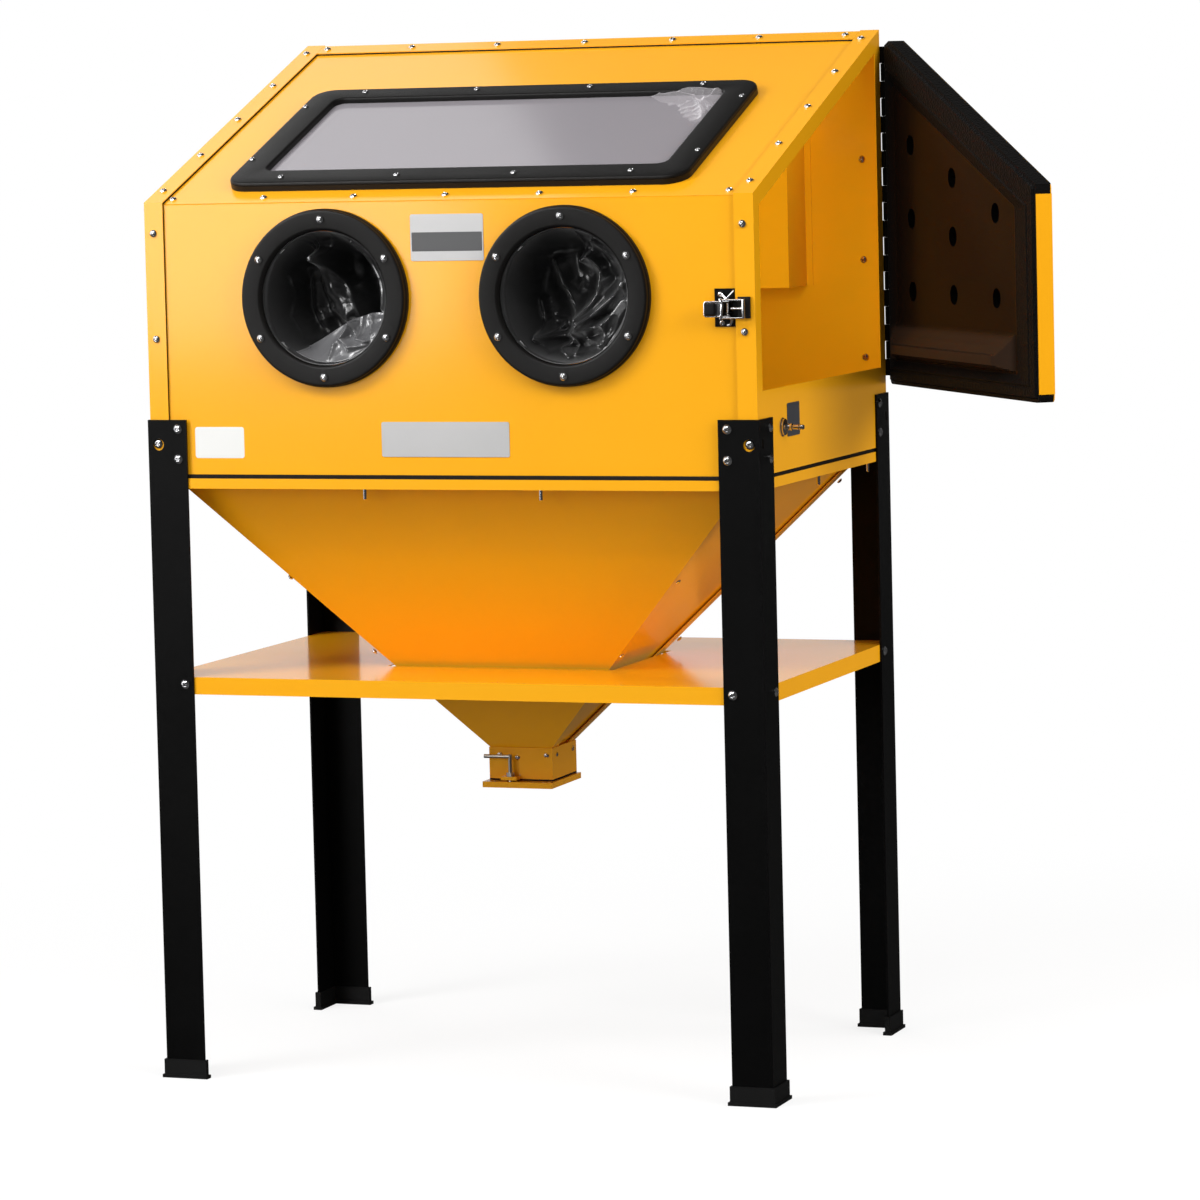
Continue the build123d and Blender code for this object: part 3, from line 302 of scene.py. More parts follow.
def piece(name, points, faces, body, material, material_slot=None, smooth=True, weld=True):
    """A finished piece: a mesh made of arrays of points and faces, with a material, on a body.

    Points that coincide are welded into one, and then the faces are turned outwards.
    """
    mesh = bpy.data.meshes.new(name)
    mesh.from_pydata(np.asarray(points, float).reshape(-1, 3).tolist(), [], faces)
    mesh.polygons.foreach_set("use_smooth", np.full(len(mesh.polygons), smooth))
    mesh.materials.append(material)
    if weld:
        shell = bmesh.new()
        shell.from_mesh(mesh)
        bmesh.ops.remove_doubles(shell, verts=shell.verts, dist=2e-6)
        bmesh.ops.recalc_face_normals(shell, faces=shell.faces)
        shell.to_mesh(mesh)
        shell.free()
    mesh.validate()
    mesh.update()
    thing = add_object(name, mesh)
    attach(thing, body)
    return thing


def grid_faces(rows, columns, wrap_rows=False, wrap_columns=False, start=0):
    """The four-sided faces between neighbouring rows and columns of a grid of points."""
    index = np.arange(rows * columns).reshape(rows, columns) + start
    if wrap_rows:
        index = np.vstack([index, index[:1]])
    if wrap_columns:
        index = np.hstack([index, index[:, :1]])
    cells = np.stack([index[:-1, :-1], index[:-1, 1:], index[1:, 1:], index[1:, :-1]], axis=-1)
    return cells.reshape(-1, 4).tolist()


def frames_of(normals, spins):
    """Right-handed axes for each normal: two across, turned by its spin, and the normal itself."""
    out = normals / np.linalg.norm(normals, axis=1, keepdims=True)
    helper = np.where(np.abs(out[:, 2:3]) > 0.9, [[1.0, 0, 0]], [[0, 0, 1.0]])
    across = np.cross(helper, out)
    across /= np.linalg.norm(across, axis=1, keepdims=True)
    over = np.cross(out, across)
    c, s = np.cos(spins)[:, None], np.sin(spins)[:, None]
    return np.stack([c * across + s * over, -s * across + c * over, out], axis=1)


def heads(name, sites, radius, height, seed, recess="cross", recess_depth=1.3, around=28, rim=0.35):
    """Many equal screw heads as one piece on the cabinet, sizes in millimetres.

    Each head is a grid of rings: a dome that falls as the square of the distance from its middle,
    rounding over into a straight rim. A cross recess pushes down every point that is nearer than
    an arm's half width to either diameter; a hexagon recess pushes down a six-sided middle.
    """
    places = np.array([site[0] for site in sites], float)
    normals = np.array([site[1] for site in sites], float)
    turns = np.random.default_rng(seed).uniform(0, 2 * pi, len(sites))
    axes = frames_of(normals, turns)
    share = np.array([0.0, 0.1, 0.17, 0.24, 0.31, 0.38, 0.45, 0.52, 0.6, 0.7, 0.8, 0.89, 0.95, 0.985, 1.0,
                      1.0])
    angle = np.arange(around) * 2 * pi / around
    r = share[:, None] * radius * np.ones(around)
    x, y = r * np.cos(angle), r * np.sin(angle)
    lift = height * (1 - (1 - rim) * share**2.3)[:, None] * np.ones(around)
    lift[-1] = -0.2
    if recess == "cross":
        arm, reach = 0.15 * radius, 0.56 * radius
        inside = (np.minimum(abs(x), abs(y)) < arm) & (np.maximum(abs(x), abs(y)) < reach)
        lift = np.where(inside, lift - recess_depth, lift)
    elif recess == "hexagon":
        folded = np.mod(angle, pi / 3) - pi / 6
        inside = r * np.cos(folded) < 0.42 * radius
        lift = np.where(inside, height - recess_depth, lift)
    local = np.stack([x, y, lift], axis=-1).reshape(-1, 3) / 1000
    points = places[:, None, :] + np.einsum("pk,nkc->npc", local, axes)
    faces = []
    for copy in range(len(sites)):
        faces += grid_faces(len(share), around, wrap_columns=True, start=copy * local.shape[0])
    made = piece(name, points, faces, "cabinet", bright_zinc, "bright_steel")
    sharp_edges(made, 35)
    return made


def sharp_edges(thing, angle):
    """Splits the shading of a piece where its faces meet at more than the angle, in degrees."""
    thing.data.set_sharp_from_angle(angle=radians(angle))


screw_sites = []
front_out, right_out = (0, -1, 0), (1, 0, 0)
for x, heights in ((14.3, (1275, 1117)), (chamber_width - 17, (1277, 1122))):
    screw_sites += [(at(x, 0, z), front_out) for z in heights]
for x in (13, chamber_width - 18):
    screw_sites += [(on_slope(x, along), slope_out) for along in (45, 190, 340, 486, 630)]
screw_sites += [(on_slope(x, 20, -4), slope_out) for x in (39, 187, 332, 478, 626, 771, 918)]
screw_sites += [(on_slope(x, 647), slope_out) for x in (43, 189.5, 335.5, 483, 629.6, 772, 912)]
screw_sites += [(at(930, chamber_depth - 5.5, z), (0, -1, 0)) for z in (1357, 1202, 1051)]
heads("panel_screws", screw_sites, 5.6, 4.4, seed=3)

# ------------------------------------------------------------------ window
# A thick black moulded surround with rounded edges clamps the glass on the slope. Its screws sit
# near its outer edge on the long sides. The glass lies in the moulding, behind a protective film.
black_moulding = finish_of("black_moulding", (0.0075, 0.0068, 0.0064), (0.0045, 0.0042, 0.0040), 0.38, 1800,
                           0.22, specular=0.2)
window_left, window_right = (corner[0] for corner in corners("window_frame"))
window_bottom, window_top = 47.0, 439.0
pane_left, pane_right, pane_bottom, pane_top = window_left + 46, window_right - 46, 99.0, 398.0


def rounded_loop(x0, x1, y0, y1, radius, arc=12):
    """Points round a rectangle with rounded corners, anticlockwise, the same number on every loop."""
    turn = np.linspace(0, pi / 2, arc)
    centres = ((x1 - radius, y0 + radius, -pi / 2), (x1 - radius, y1 - radius, 0),
               (x0 + radius, y1 - radius, pi / 2), (x0 + radius, y0 + radius, pi))
    return np.concatenate([
        np.stack([cx + radius * np.cos(start + turn), cy + radius * np.sin(start + turn)], axis=1)
        for cx, cy, start in centres])


def grown_loop(x0, x1, y0, y1, radius, shift):
    """The same loop, grown outwards by a shift on every side."""
    return rounded_loop(x0 - shift, x1 + shift, y0 - shift, y1 + shift, max(radius + shift, 6))


# outwards from the edge, and above the panel's outer face
outer_steps = [(0.0, -4.0), (0.0, 4.6), (-0.9, 4.9), (-0.9, 5.4), (0.0, 5.8), (-0.5, 7.9), (-1.7, 9.4),
               (-3.6, 10.0), (-22.0, 10.0)]
inner_steps = [(4.0, 10.0), (2.0, 9.6), (0.7, 8.4), (0.2, 6.8), (0.0, 0.6), (0.0, 0.2)]
loops = [on_slope(*grown_loop(window_left, window_right, window_bottom, window_top, 34, shift).T, level)
         for shift, level in outer_steps]
loops += [on_slope(*grown_loop(pane_left, pane_right, pane_bottom, pane_top, 16, shift).T, level)
          for shift, level in inner_steps]
surround_faces = grid_faces(len(loops), len(loops[0]), wrap_columns=True)
surround = piece("window_surround", loops[::-1], surround_faces, "cabinet", black_moulding, "black_moulding")
sharp_edges(surround, 50)
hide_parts("window_frame")
window_screws = [(on_slope(x, along, 9.6), slope_out) for along in (70, 423) for x in (197.5, 384, 570, 753)]
window_screws += [(on_slope(120, along, 9.4), slope_out) for along in (145, 364)]
window_screws += [(on_slope(832, along, 9.4), slope_out) for along in (147, 367)]
heads("window_screws", window_screws, 4.8, 3.4, seed=5)

film_glass, tree = bare_material("film_glass")
place = add_node(tree, "ShaderNodeTexCoord").outputs["Object"]
streaks = add_node(tree, "ShaderNodeTexNoise", {"Vector": place, "Scale": 9.0, "Detail": 5.0}).outputs["Fac"]
shader = add_node(tree, "ShaderNodeBsdfPrincipled", {
    "Base Color": (0.325, 0.305, 0.33), "Transmission Weight": 0.25,
    "Roughness": fade(tree, streaks, 0, 1, 0.09, 0.16)})
show(tree, shader.outputs["BSDF"])
cover(film_glass, "window_pane")

# ------------------------------------------------------------------ plates
# Five bare plates: two of brushed aluminium, a dark field on the upper one and a white film on the
# front, and a dark one on the right side. Each is a thin sheet with rounded corners and a soft edge.
brushed_plate = finish_of("brushed_plate", (0.56, 0.55, 0.55), (0.47, 0.47, 0.47), 0.36, 1400, 0.12,
                          metallic=0.35, specular=0.4)
dark_plate = finish_of("dark_plate", (0.085, 0.085, 0.088), (0.062, 0.062, 0.065), 0.34, 1400, 0.08)
side_plate = finish_of("side_plate", (0.055, 0.057, 0.065), (0.035, 0.036, 0.04), 0.34, 1400, 0.08)
white_film = finish_of("white_film", (0.80, 0.80, 0.78), (0.72, 0.72, 0.70), 0.4, 900, 0.05)


def on_front(across, up, level):
    """Points in front of the chamber's front plane."""
    return at(across, -level, up)


def on_right(across, up, level):
    """Points out from the chamber's right side."""
    return at(chamber_width + level, across, up)


def plate(name, place, x0, x1, z0, z1, base, thickness, radius, material, material_slot):
    """A thin plate: rounded loops from its back edge over a soft rim to the flat front, and a centre."""
    face = base + thickness
    loops = []
    for inset, level in ((0, base), (0, base + thickness * 0.7), (0.15, face), (1.0, face)):
        flat = rounded_loop(x0 + inset, x1 - inset, z0 + inset, z1 - inset, max(radius - inset, 0.4))
        loops.append(place(*flat.T, level))
    count = len(loops[0])
    points = np.concatenate([*loops, [place((x0 + x1) / 2, (z0 + z1) / 2, face)]])
    middle = len(points) - 1
    last_loop = np.arange(middle - count, middle)
    fan = np.stack([np.full(count, middle), last_loop, np.roll(last_loop, -1)], axis=1).tolist()
    walls = np.array(grid_faces(len(loops), count, wrap_columns=True))[:, ::-1].tolist()
    return piece(name, points, walls + fan, "cabinet", material, material_slot, smooth=False)


front_face = -corners("front_panel")[0][1]
plate("data_plate", on_front, 428, 543, 1229, 1297.5, front_face, 0.8, 3, brushed_plate, "bright_steel")
plate("data_plate_field", on_front, 430, 541, 1243, 1271, front_face + 0.8, 0.15, 1.2, dark_plate,
      "black_moulding")
plate("name_plate", on_front, 374, 576, 941, 992.6, front_face, 0.9, 3, brushed_plate, "bright_steel")
plate("sticker", on_front, 71.5, 151.5, 938.5, 985, front_face, 0.3, 4, white_film, "bright_steel")
plate("side_plate", on_right, 134, 191, 962, 1011, 0.0, 0.8, 3, side_plate, "black_moulding")

# ------------------------------------------------------------------ arm rings
# Each arm opening has a turned black moulding, domed at its rim and bevelled into the opening,
# held by six pan heads in shallow seats.
ring_low, ring_high = corners("arm_ring_left")
ring_height = (ring_low[2] + ring_high[2]) / 2
ring_outer = (ring_high[2] - ring_low[2]) / 2
ring_inner = 100.0
ring_front = ring_low[1]
ring_centres = {side: np.mean([corner[0] for corner in corners(f"arm_ring_{side}")])
                for side in ("left", "right")}
ring_screw_circle, ring_screws = 116.3, 6
ring_around = 144
ring_profile = np.array([
    # radius, depth behind the ring's front face
    (ring_outer, 16.0), (ring_outer, 9.2), (ring_outer - 0.5, 8.4), (ring_outer - 1.6, 8.0),
    (ring_outer - 1.6, 2.8), (ring_outer - 2.0, 1.5), (ring_outer - 3.0, 0.6), (ring_outer - 4.4, 0.1),
    (ring_outer - 6.0, 0.0), (ring_inner + 4.6, 0.0), (ring_inner + 3.4, 0.2), (ring_inner + 1.6, 1.3),
    (ring_inner + 0.5, 2.7), (ring_inner - 0.1, 4.6), (ring_inner - 0.5, 9.0), (ring_inner - 0.5, 14.0),
    (ring_inner + 1.5, 16.0),
])


def turned(profile, around, centre, axis_x, axis_y, axis, start=0):
    """A profile of (radius, position along the axis) pairs, in millimetres, turned about an axis.

    Gives its points and faces: each pair goes round the circle that the two cross axes span.
    """
    angle = np.arange(around) * 2 * pi / around
    spoke = np.cos(angle)[:, None] * np.array(axis_x) + np.sin(angle)[:, None] * np.array(axis_y)
    profile = np.asarray(profile, float) / 1000
    points = (np.array(centre) + profile[:, None, 0:1] * spoke[None]
              + profile[:, None, 1:2] * np.array(axis, float))
    return points, grid_faces(len(profile), around, wrap_columns=True, start=start)


for side, centre in ring_centres.items():
    middle = at(centre, ring_front, ring_height)
    ring = piece(f"arm_ring_moulding_{side}",
                 *turned(ring_profile, ring_around, middle, (1, 0, 0), (0, 0, 1), (0, 1, 0)),
                 "cabinet", black_moulding, "black_moulding")
    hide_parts(f"arm_ring_{side}")
    sites = [(at(centre + ring_screw_circle * cos(a), ring_front, ring_height + ring_screw_circle * sin(a)),
              front_out) for a in pi / 2 + np.arange(ring_screws) * 2 * pi / ring_screws]
    heads(f"ring_screws_{side}", sites, 5.9, 4.6, seed=11)

# ------------------------------------------------------------------ arm sleeves
# Sleeves of thin, glossy black PVC hang from the back of the rings. They are pushed in and
# crumpled: pleats run from the clamped edge to folds that lie just inside each opening.
glove_sheet = finish_of("glove_sheet", (0.017, 0.017, 0.0175), (0.012, 0.012, 0.0125), 0.34, 420, 0.25,
                        coat=1.0, coat_roughness=0.22, rough_spread=0.12, specular=1.0)
glove_shader = shader_of(glove_sheet)
glove_shader.inputs["Sheen Weight"].default_value = 0.30
glove_shader.inputs["Sheen Roughness"].default_value = 0.35


def nearness(u, v, line, width, sharp):
    """How near each point lies to a broken line: 1 on it, falling off with the distance over the width.

    A sharp fold falls off as an exponential, and a soft one as a bell.
    """
    nearest = np.full(u.shape, 1e9)
    for (ax, ay), (bx, by) in zip(line[:-1], line[1:]):
        dx, dy = bx - ax, by - ay
        t = np.clip(((u - ax) * dx + (v - ay) * dy) / (dx * dx + dy * dy), 0, 1)
        nearest = np.minimum(nearest, np.hypot(u - ax - t * dx, v - ay - t * dy))
    return np.exp(-nearest / width) if sharp else np.exp(-(nearest / width) ** 2)


def crumple(u, v, seed, height, count=26, finest=13.0):
    """Creased relief: patches of folded sine waves, each in its own place and direction."""
    noise = np.random.default_rng(seed)
    relief = np.zeros(u.shape)
    for _ in range(count):
        turn, wave, phase = noise.uniform(0, pi), noise.uniform(4, finest), noise.uniform(0, 2 * pi)
        cu, cv, reach = noise.uniform(-0.9, 0.9), noise.uniform(-0.9, 0.9), noise.uniform(0.2, 0.5)
        ripple = 1 - 2 * np.abs(np.sin(wave * (u * cos(turn) + v * sin(turn)) + phase))
        relief += height * ripple * np.exp(-((u - cu) ** 2 + (v - cv) ** 2) / reach**2)
    return relief


sleeve_folds = {
    # broken line, width, height towards the opening in millimetres, sharp
    "left": [
        ([(-0.49, 0.91), (-0.30, 0.57)], 0.045, 14, True), ([(-0.39, 0.95), (-0.28, 0.58)], 0.03, 11, True),
        ([(-0.28, 0.94), (-0.27, 0.58)], 0.03, 11, True), ([(-0.01, 0.94), (-0.23, 0.60)], 0.06, 17, True),
        ([(-0.15, 0.80), (-0.25, 0.60)], 0.14, 20, False),
        ([(-0.30, 0.57), (-0.20, 0.12), (0.02, -0.25)], 0.18, 42, False),
        ([(-0.30, 0.57), (-0.40, 0.21), (-0.30, -0.18), (0.02, -0.37)], 0.11, 18, True),
        ([(-0.29, 0.57), (0.02, 0.12), (0.18, -0.24), (0.22, -0.40)], 0.10, 24, True),
        ([(0.22, 0.55), (0.34, 0.0), (0.42, -0.3)], 0.12, -34, False),
        ([(0.30, 0.80), (0.62, 0.27), (0.74, -0.18)], 0.15, 34, True),
        ([(0.16, 0.70), (0.36, 0.50), (0.33, 0.30)], 0.06, 12, True),
        ([(-0.84, 0.33), (-0.84, -0.30), (-0.62, -0.66)], 0.08, 16, True),
        ([(-0.62, 0.40), (-0.60, -0.20), (-0.40, -0.60)], 0.10, 14, False),
    ],
    "right": [
        ([(0.10, 0.93), (0.07, 0.49)], 0.07, 26, True),
        ([(0.07, 0.49), (0.20, 0.56), (0.37, 0.80)], 0.07, 28, True),
        ([(0.42, 0.74), (0.56, 0.52)], 0.09, 22, True),
        ([(0.21, 0.54), (0.33, 0.35), (0.31, -0.01), (0.06, -0.375)], 0.14, 46, True),
        ([(0.10, -0.47), (0.42, -0.18), (0.84, 0.15)], 0.12, 36, True),
        ([(-0.09, -0.57), (0.25, -0.50), (0.52, -0.44), (0.84, -0.14)], 0.11, 36, True),
        ([(0.28, -0.36), (0.58, -0.26), (0.86, -0.02)], 0.05, -12, True),
        ([(-0.03, -0.60), (0.02, -0.86)], 0.07, 22, True),
        ([(0.18, -0.66), (0.42, -0.70), (0.52, -0.78)], 0.07, 20, True),
        ([(0.52, -0.44), (0.56, -0.70)], 0.08, 18, True),
        ([(-0.60, -0.65), (-0.19, -0.60), (-0.10, -0.68), (-0.25, -0.79), (-0.07, -0.92)], 0.07, 26, True),
        ([(-0.62, -0.66), (-0.40, -0.84)], 0.06, 20, True),
        ([(-0.36, -0.46), (-0.56, -0.62)], 0.06, 18, True),
        ([(-0.46, 0.49), (-0.34, 0.15), (-0.13, -0.18), (0.0, -0.36)], 0.13, 34, True),
        ([(-0.74, -0.10), (-0.62, -0.60)], 0.07, 18, True),
        ([(0.30, -0.55), (0.62, -0.34)], 0.32, 22, False),
    ],
}
sleeve_shapes = {
    # greatest depth, lean to one side, the creases' seed and height
    "left": (118, 0.9, 7, 1.1),
    "right": (112, 1.1, 8, 1.8),
}
sleeve_radius, sleeve_seat, sleeve_edge = 99.2, ring_front + 16.0, ring_front + 8.0
sleeve_cells = 190


def thicken(sheet, thickness, offset=0):
    """Gives a sheet its wall, in millimetres: round its surface, or on one side of it."""
    wall = sheet.modifiers.new("wall", "SOLIDIFY")
    wall.thickness = thickness / 1000
    wall.offset = offset


sleeve_steepness, clamp_stiffness, sleeve_least, sleeve_most = 2.6, 8, 5, 200
for side, centre in ring_centres.items():
    # A square grid drawn out to a disc. It sinks in from its edge as a power of a sine, sooner on
    # the left and less deep on the right. Folds and creases rise from it, but not at the edge.
    p, q = np.meshgrid(np.linspace(-1, 1, sleeve_cells), np.linspace(-1, 1, sleeve_cells))
    u, v = p * np.sqrt(1 - q * q / 2), q * np.sqrt(1 - p * p / 2)
    edge = np.clip(1 - np.hypot(u, v), 0, 1)
    deepest, lean, seed, crease = sleeve_shapes[side]
    depth = deepest * np.sin(pi / 2 * np.minimum(edge * (sleeve_steepness - lean * u), 1)) ** 0.8
    depth = depth * (1 - 0.30 * np.clip(u, 0, 1))
    held = np.minimum(edge * clamp_stiffness, 1)
    for line, width, height, sharp in sleeve_folds[side]:
        depth -= held * height * nearness(u, v, line, width, sharp)
    depth -= held * crumple(u, v, seed, crease)
    back = np.where(edge < 1e-9, sleeve_edge, sleeve_seat + np.clip(depth, sleeve_least, sleeve_most))
    points = at(centre + sleeve_radius * u, back, ring_height + sleeve_radius * v)
    sleeve = piece(f"arm_sleeve_sheet_{side}", points, grid_faces(sleeve_cells, sleeve_cells),
                   "cabinet", glove_sheet, "glove_sheet")
    thicken(sleeve, 1.2, offset=-1)
    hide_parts(f"arm_sleeve_{side}")

# ------------------------------------------------------------------ films
# A grey crumpled sheet, lighter than the sleeve, lies in the left arm opening, from the ring's lower edge
# up over the sleeve. A scrap of thin clear film, left over from packing, is peeled up in folds at the
# window's top corner.
grey_crumple = finish_of("grey_crumple", (0.16, 0.16, 0.165), (0.10, 0.10, 0.105), 0.22, 300, 0.2, coat=0.6,
                         coat_roughness=0.08, rough_spread=0.1, specular=0.9)
film_rows, film_columns, film_radius = 70, 110, 99.0
along, inward = np.meshgrid(np.linspace(0, 1, film_columns), np.linspace(0, 1, film_rows))
sweep = radians(-124) + along * radians(110)
upper_u = np.interp(along, [0, 0.3, 0.5, 0.75, 1], [-0.50, -0.05, 0.25, 0.53, 0.90])
upper_v = np.interp(along, [0, 0.3, 0.5, 0.75, 1], [-0.74, -0.52, -0.35, -0.25, -0.22])
u = (1 - inward) * 0.965 * np.cos(sweep) + inward * upper_u
v = (1 - inward) * 0.965 * np.sin(sweep) + inward * upper_v
lie = 8 + 34 * np.sin(inward * pi / 2) + 6 * np.sin(along * 9 + 1.2) * inward
for line, width, height, sharp in (
        ([(0.28, -0.40), (0.42, -0.62), (0.62, -0.66)], 0.05, 16, True),
        ([(0.30, -0.38), (0.10, -0.62), (0.30, -0.74)], 0.05, 14, True),
        ([(0.58, -0.30), (0.66, -0.52)], 0.05, 14, True), ([(0.42, -0.28), (0.43, -0.60)], 0.03, 6, True),
        ([(0.00, -0.70), (-0.02, -0.92)], 0.04, 9, True), ([(0.30, -0.74), (0.62, -0.72)], 0.04, 14, True)):
    lie -= np.minimum(inward * 5, 1) * height * nearness(u, v, line, width, sharp)
lie -= crumple(u, v, 15, 1.0, count=30, finest=22)
points = at(ring_centres["left"] + film_radius * u, ring_front + 13.0 + np.clip(lie, 3, 60),
            ring_height + film_radius * v)
glove_film = piece("glove_film", points, grid_faces(film_rows, film_columns), "cabinet", grey_crumple,
                   "glove_sheet")
thicken(glove_film, 0.3)

clear_film = finish_of("clear_film", (0.74, 0.70, 0.73), (0.60, 0.57, 0.60), 0.20, 300, 0.3, coat=0.7,
                       coat_roughness=0.08, rough_spread=0.1, specular=0.9)
tree = clear_film.node_tree
# The pale film is faint where it is seen face-on and nearly opaque where it is seen edge-on: a painted sheen
# at glancing angles.
facing = add_node(tree, "ShaderNodeLayerWeight", {"Blend": 0.5}).outputs["Facing"]
glancing_sheen = fade(tree, facing, 0.55, 0.95, 0.16, 0.95, "SMOOTHSTEP")
tree.links.new(glancing_sheen, shader_of(clear_film).inputs["Alpha"])
film_rows, film_columns, film_top = 120, 100, 397
down, over = np.meshgrid(np.linspace(0, 1, film_rows), np.linspace(0, 1, film_columns), indexing="ij")
left_x, left_along = (np.interp(down, [0, 0.45, 1], ends) for ends in ([672, 722, 781], [film_top, 352, 268]))
right_x, right_along = (np.interp(down, [0, 1], ends) for ends in ([795, 795], [film_top, 296]))
x, along = left_x + over * (right_x - left_x), left_along + over * (right_along - left_along)
swell = np.interp(x, [672, 690, 715, 742, 770, 788, 795], [0, 2.5, 9, 12.5, 10, 8, 4])
rise = 0.8 + swell * np.exp(-((film_top - along) / 17) ** 2) + 1.2 * np.sin(pi * over) * np.sin(pi * down)
for line, width, height, sharp in (
        ([(690, 396), (722, 388), (750, 377), (768, 352), (783, 318), (789, 297)], 5.0, 5.5, True),
        ([(728, 398), (747, 396), (765, 391), (772, 364), (786, 340)], 5.0, 4.5, True),
        ([(785, 398), (781, 385), (774, 362)], 5.0, 5.0, True), ([(735, 372), (745, 362)], 6.0, 2.0, False),
        ([(700, 396), (745, 390)], 9.0, -4.0, False), ([(778, 345), (790, 320)], 5.0, -2.5, False)):
    rise += np.minimum((1 - over) * 9, 1) * height * nearness(x, along, line, width, sharp)
rise += crumple((x - 735) / 60, (along - 335) / 60, 23, 0.28, count=20, finest=14)
window_film = piece("window_film", on_slope(x, along, np.clip(rise, 0.4, 14.5)),
                    grid_faces(film_rows, film_columns), "cabinet", clear_film, "window_glass")
thicken(window_film, 0.2)

# ------------------------------------------------------------------ stand
# Four angle legs with a satin black coat, each in a moulded foot, are bolted to the chamber's
# corners. The bolts are bright dome heads with a hexagon socket.
black_coat = finish_of("black_coat", (0.0026, 0.0026, 0.0026), (0.0014, 0.0014, 0.0014), 0.34, 1600, 0.22,
                       specular=0.09)
foot_rubber = finish_of("foot_rubber", (0.007, 0.007, 0.007), (0.004, 0.004, 0.004), 0.5, 900, 0.3,
                        specular=0.2)
for corner in ("front_left", "front_right", "rear_left", "rear_right"):
    cover(black_coat, f"leg_{corner}")
    cover(foot_rubber, f"foot_{corner}")
leg_sheet, bolt_inset, bolt_corner, shelf_bolt_height = 3.0, 46.0, 12.5, 598
bolt_sites, shelf_bolt_sites = [], []
for x, sx in ((0, 1), (chamber_width, -1)):
    for y, sy in ((0, 1), (chamber_depth, -1)):
        face_out, end_out = (0, -sy, 0), (-sx, 0, 0)
        for z, sites in ((982, bolt_sites), (937, bolt_sites), (shelf_bolt_height, shelf_bolt_sites)):
            sites.append((at(x + sx * bolt_inset, y - sy * leg_sheet, z), face_out))
            sites.append((at(x - sx * leg_sheet, y + sy * bolt_inset, z), end_out))
        bolt_sites.append((at(x + sx * bolt_corner, y, 960), face_out))
bolt_head = {"radius": 7.0, "height": 4.4, "recess": "hexagon", "recess_depth": 2.4, "rim": 0.2, "around": 36}
stand_bolts = heads("stand_bolt_heads", bolt_sites, seed=21, **bolt_head)
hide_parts("leg_bolts")
shelf_bolts = heads("shelf_bolt_heads", shelf_bolt_sites, seed=22, **bolt_head)
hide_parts("shelf_bolts")

# ------------------------------------------------------------------ funnel fixings
# Pan heads join the funnel's folded corners, and studs with nuts hang from its rim, where it is
# bolted up to the chamber through the foam strip.
funnel_top, funnel_bottom, side_run = 906.5, 478.0, 403.5
drop = funnel_top - funnel_bottom
side_normal = np.array([drop, 0, -side_run]) / hypot(drop, side_run)
corner_screws = []
for x, y, z in ((790.7, 119.7, 749.6), (679.1, 175.7, 632.1), (679.6, 431.7, 629.4), (790, 497, 749),
                (899.7, 567.6, 863.1)):
    corner_screws.append((at(x, y, z), side_normal))
    corner_screws.append((at(chamber_width - x, y, z), side_normal * (-1, 1, 1)))
heads("funnel_screws", corner_screws, 4.5, 3.0, seed=31)
outlet_front, outlet_right = 261.5, 531.5
outlet_screws = [(at(x, outlet_front, z), front_out) for x, z in ((446, 467), (475, 463), (522, 467))]
outlet_screws += [(at(outlet_right, y, 467), right_out) for y in (280, 348)]
heads("outlet_screws", outlet_screws, 4.0, 2.6, seed=33)
stud_profile = [(0.0, 30.0), (2.2, 30.0), (3.0, 29.2), (3.0, 12.0), (3.0, 11.9), (5.6, 11.9), (5.6, 6.5),
                (8.0, 6.5), (8.0, 5.0), (8.0, 0.0)]
stud_inset, stud_around = 15.0, 18
stud_places = [(x, y) for y in (stud_inset, chamber_depth - stud_inset) for x in (340, 619)]
stud_places += [(x, y) for x in (stud_inset, chamber_width - stud_inset) for y in (322, 573)]
stud_points, stud_faces = [], []
for number, (x, y) in enumerate(stud_places):
    one_points, one_faces = turned(stud_profile, stud_around, at(x, y, funnel_top), (1, 0, 0), (0, 1, 0),
                                   (0, 0, -1), start=number * len(stud_profile) * stud_around)
    stud_points.append(one_points)
    stud_faces += one_faces
studs = piece("rim_studs", stud_points, stud_faces, "cabinet", bright_zinc, "bright_steel")
sharp_edges(studs, 30)

# ------------------------------------------------------------------ outlet hatch
# A threaded rod with a bent grip clamps the hatch under the outlet. It and its nuts are dull zinc,
# as are the door hinge's pin and the extraction spigot at the back.
dull_zinc = finish_of("dull_zinc", (0.62, 0.60, 0.56), (0.45, 0.43, 0.40), 0.32, 1200, 0.12, metallic=1.0)
cover(dull_zinc, "hatch_handle", "hatch_nuts", "hinge_pin", "extraction_spigot")

# ------------------------------------------------------------------ door
# A yellow outer sheet carries a dark liner, vacuum-formed with a grained rim, a glossy recess
# with round pockets and a ledge for small parts. A black continuous hinge carries it.
door_turn = radians(38)
door_axis = at(chamber_width + 4, chamber_depth + 4, 0)
along_door = np.array([sin(door_turn), -cos(door_turn), 0])
into_door = np.array([-cos(door_turn), -sin(door_turn), 0])
liner_near, liner_far, liner_foot, slab_front, rim_level, slab_back = 4.0, 598.0, 1009.0, -1.0, 3.0, -23.9
recess_near, recess_far, recess_foot, recess_top_margin, recess_floor = 16.0, 568.0, 1034.0, 44.0, -9.0
side_widths = {"end": 68.0, "top": 25.0, "bottom": 12.0, "hinge": 1.2}
crown_start, top_fall, hinge_cut, cut_start, cut_rise = 1547.5, 0.3754, 24, 1531.5, 0.35
pocket_sites = [(86, 1154), (86, 1266), (86, 1378), (255, 1154), (255, 1241.5), (255, 1329), (424, 1154),
                (424, 1279)]
pocket_radius, pocket_depth, pocket_drawn = 15.0, 13.5, 1.5
liner_corner = 8.0


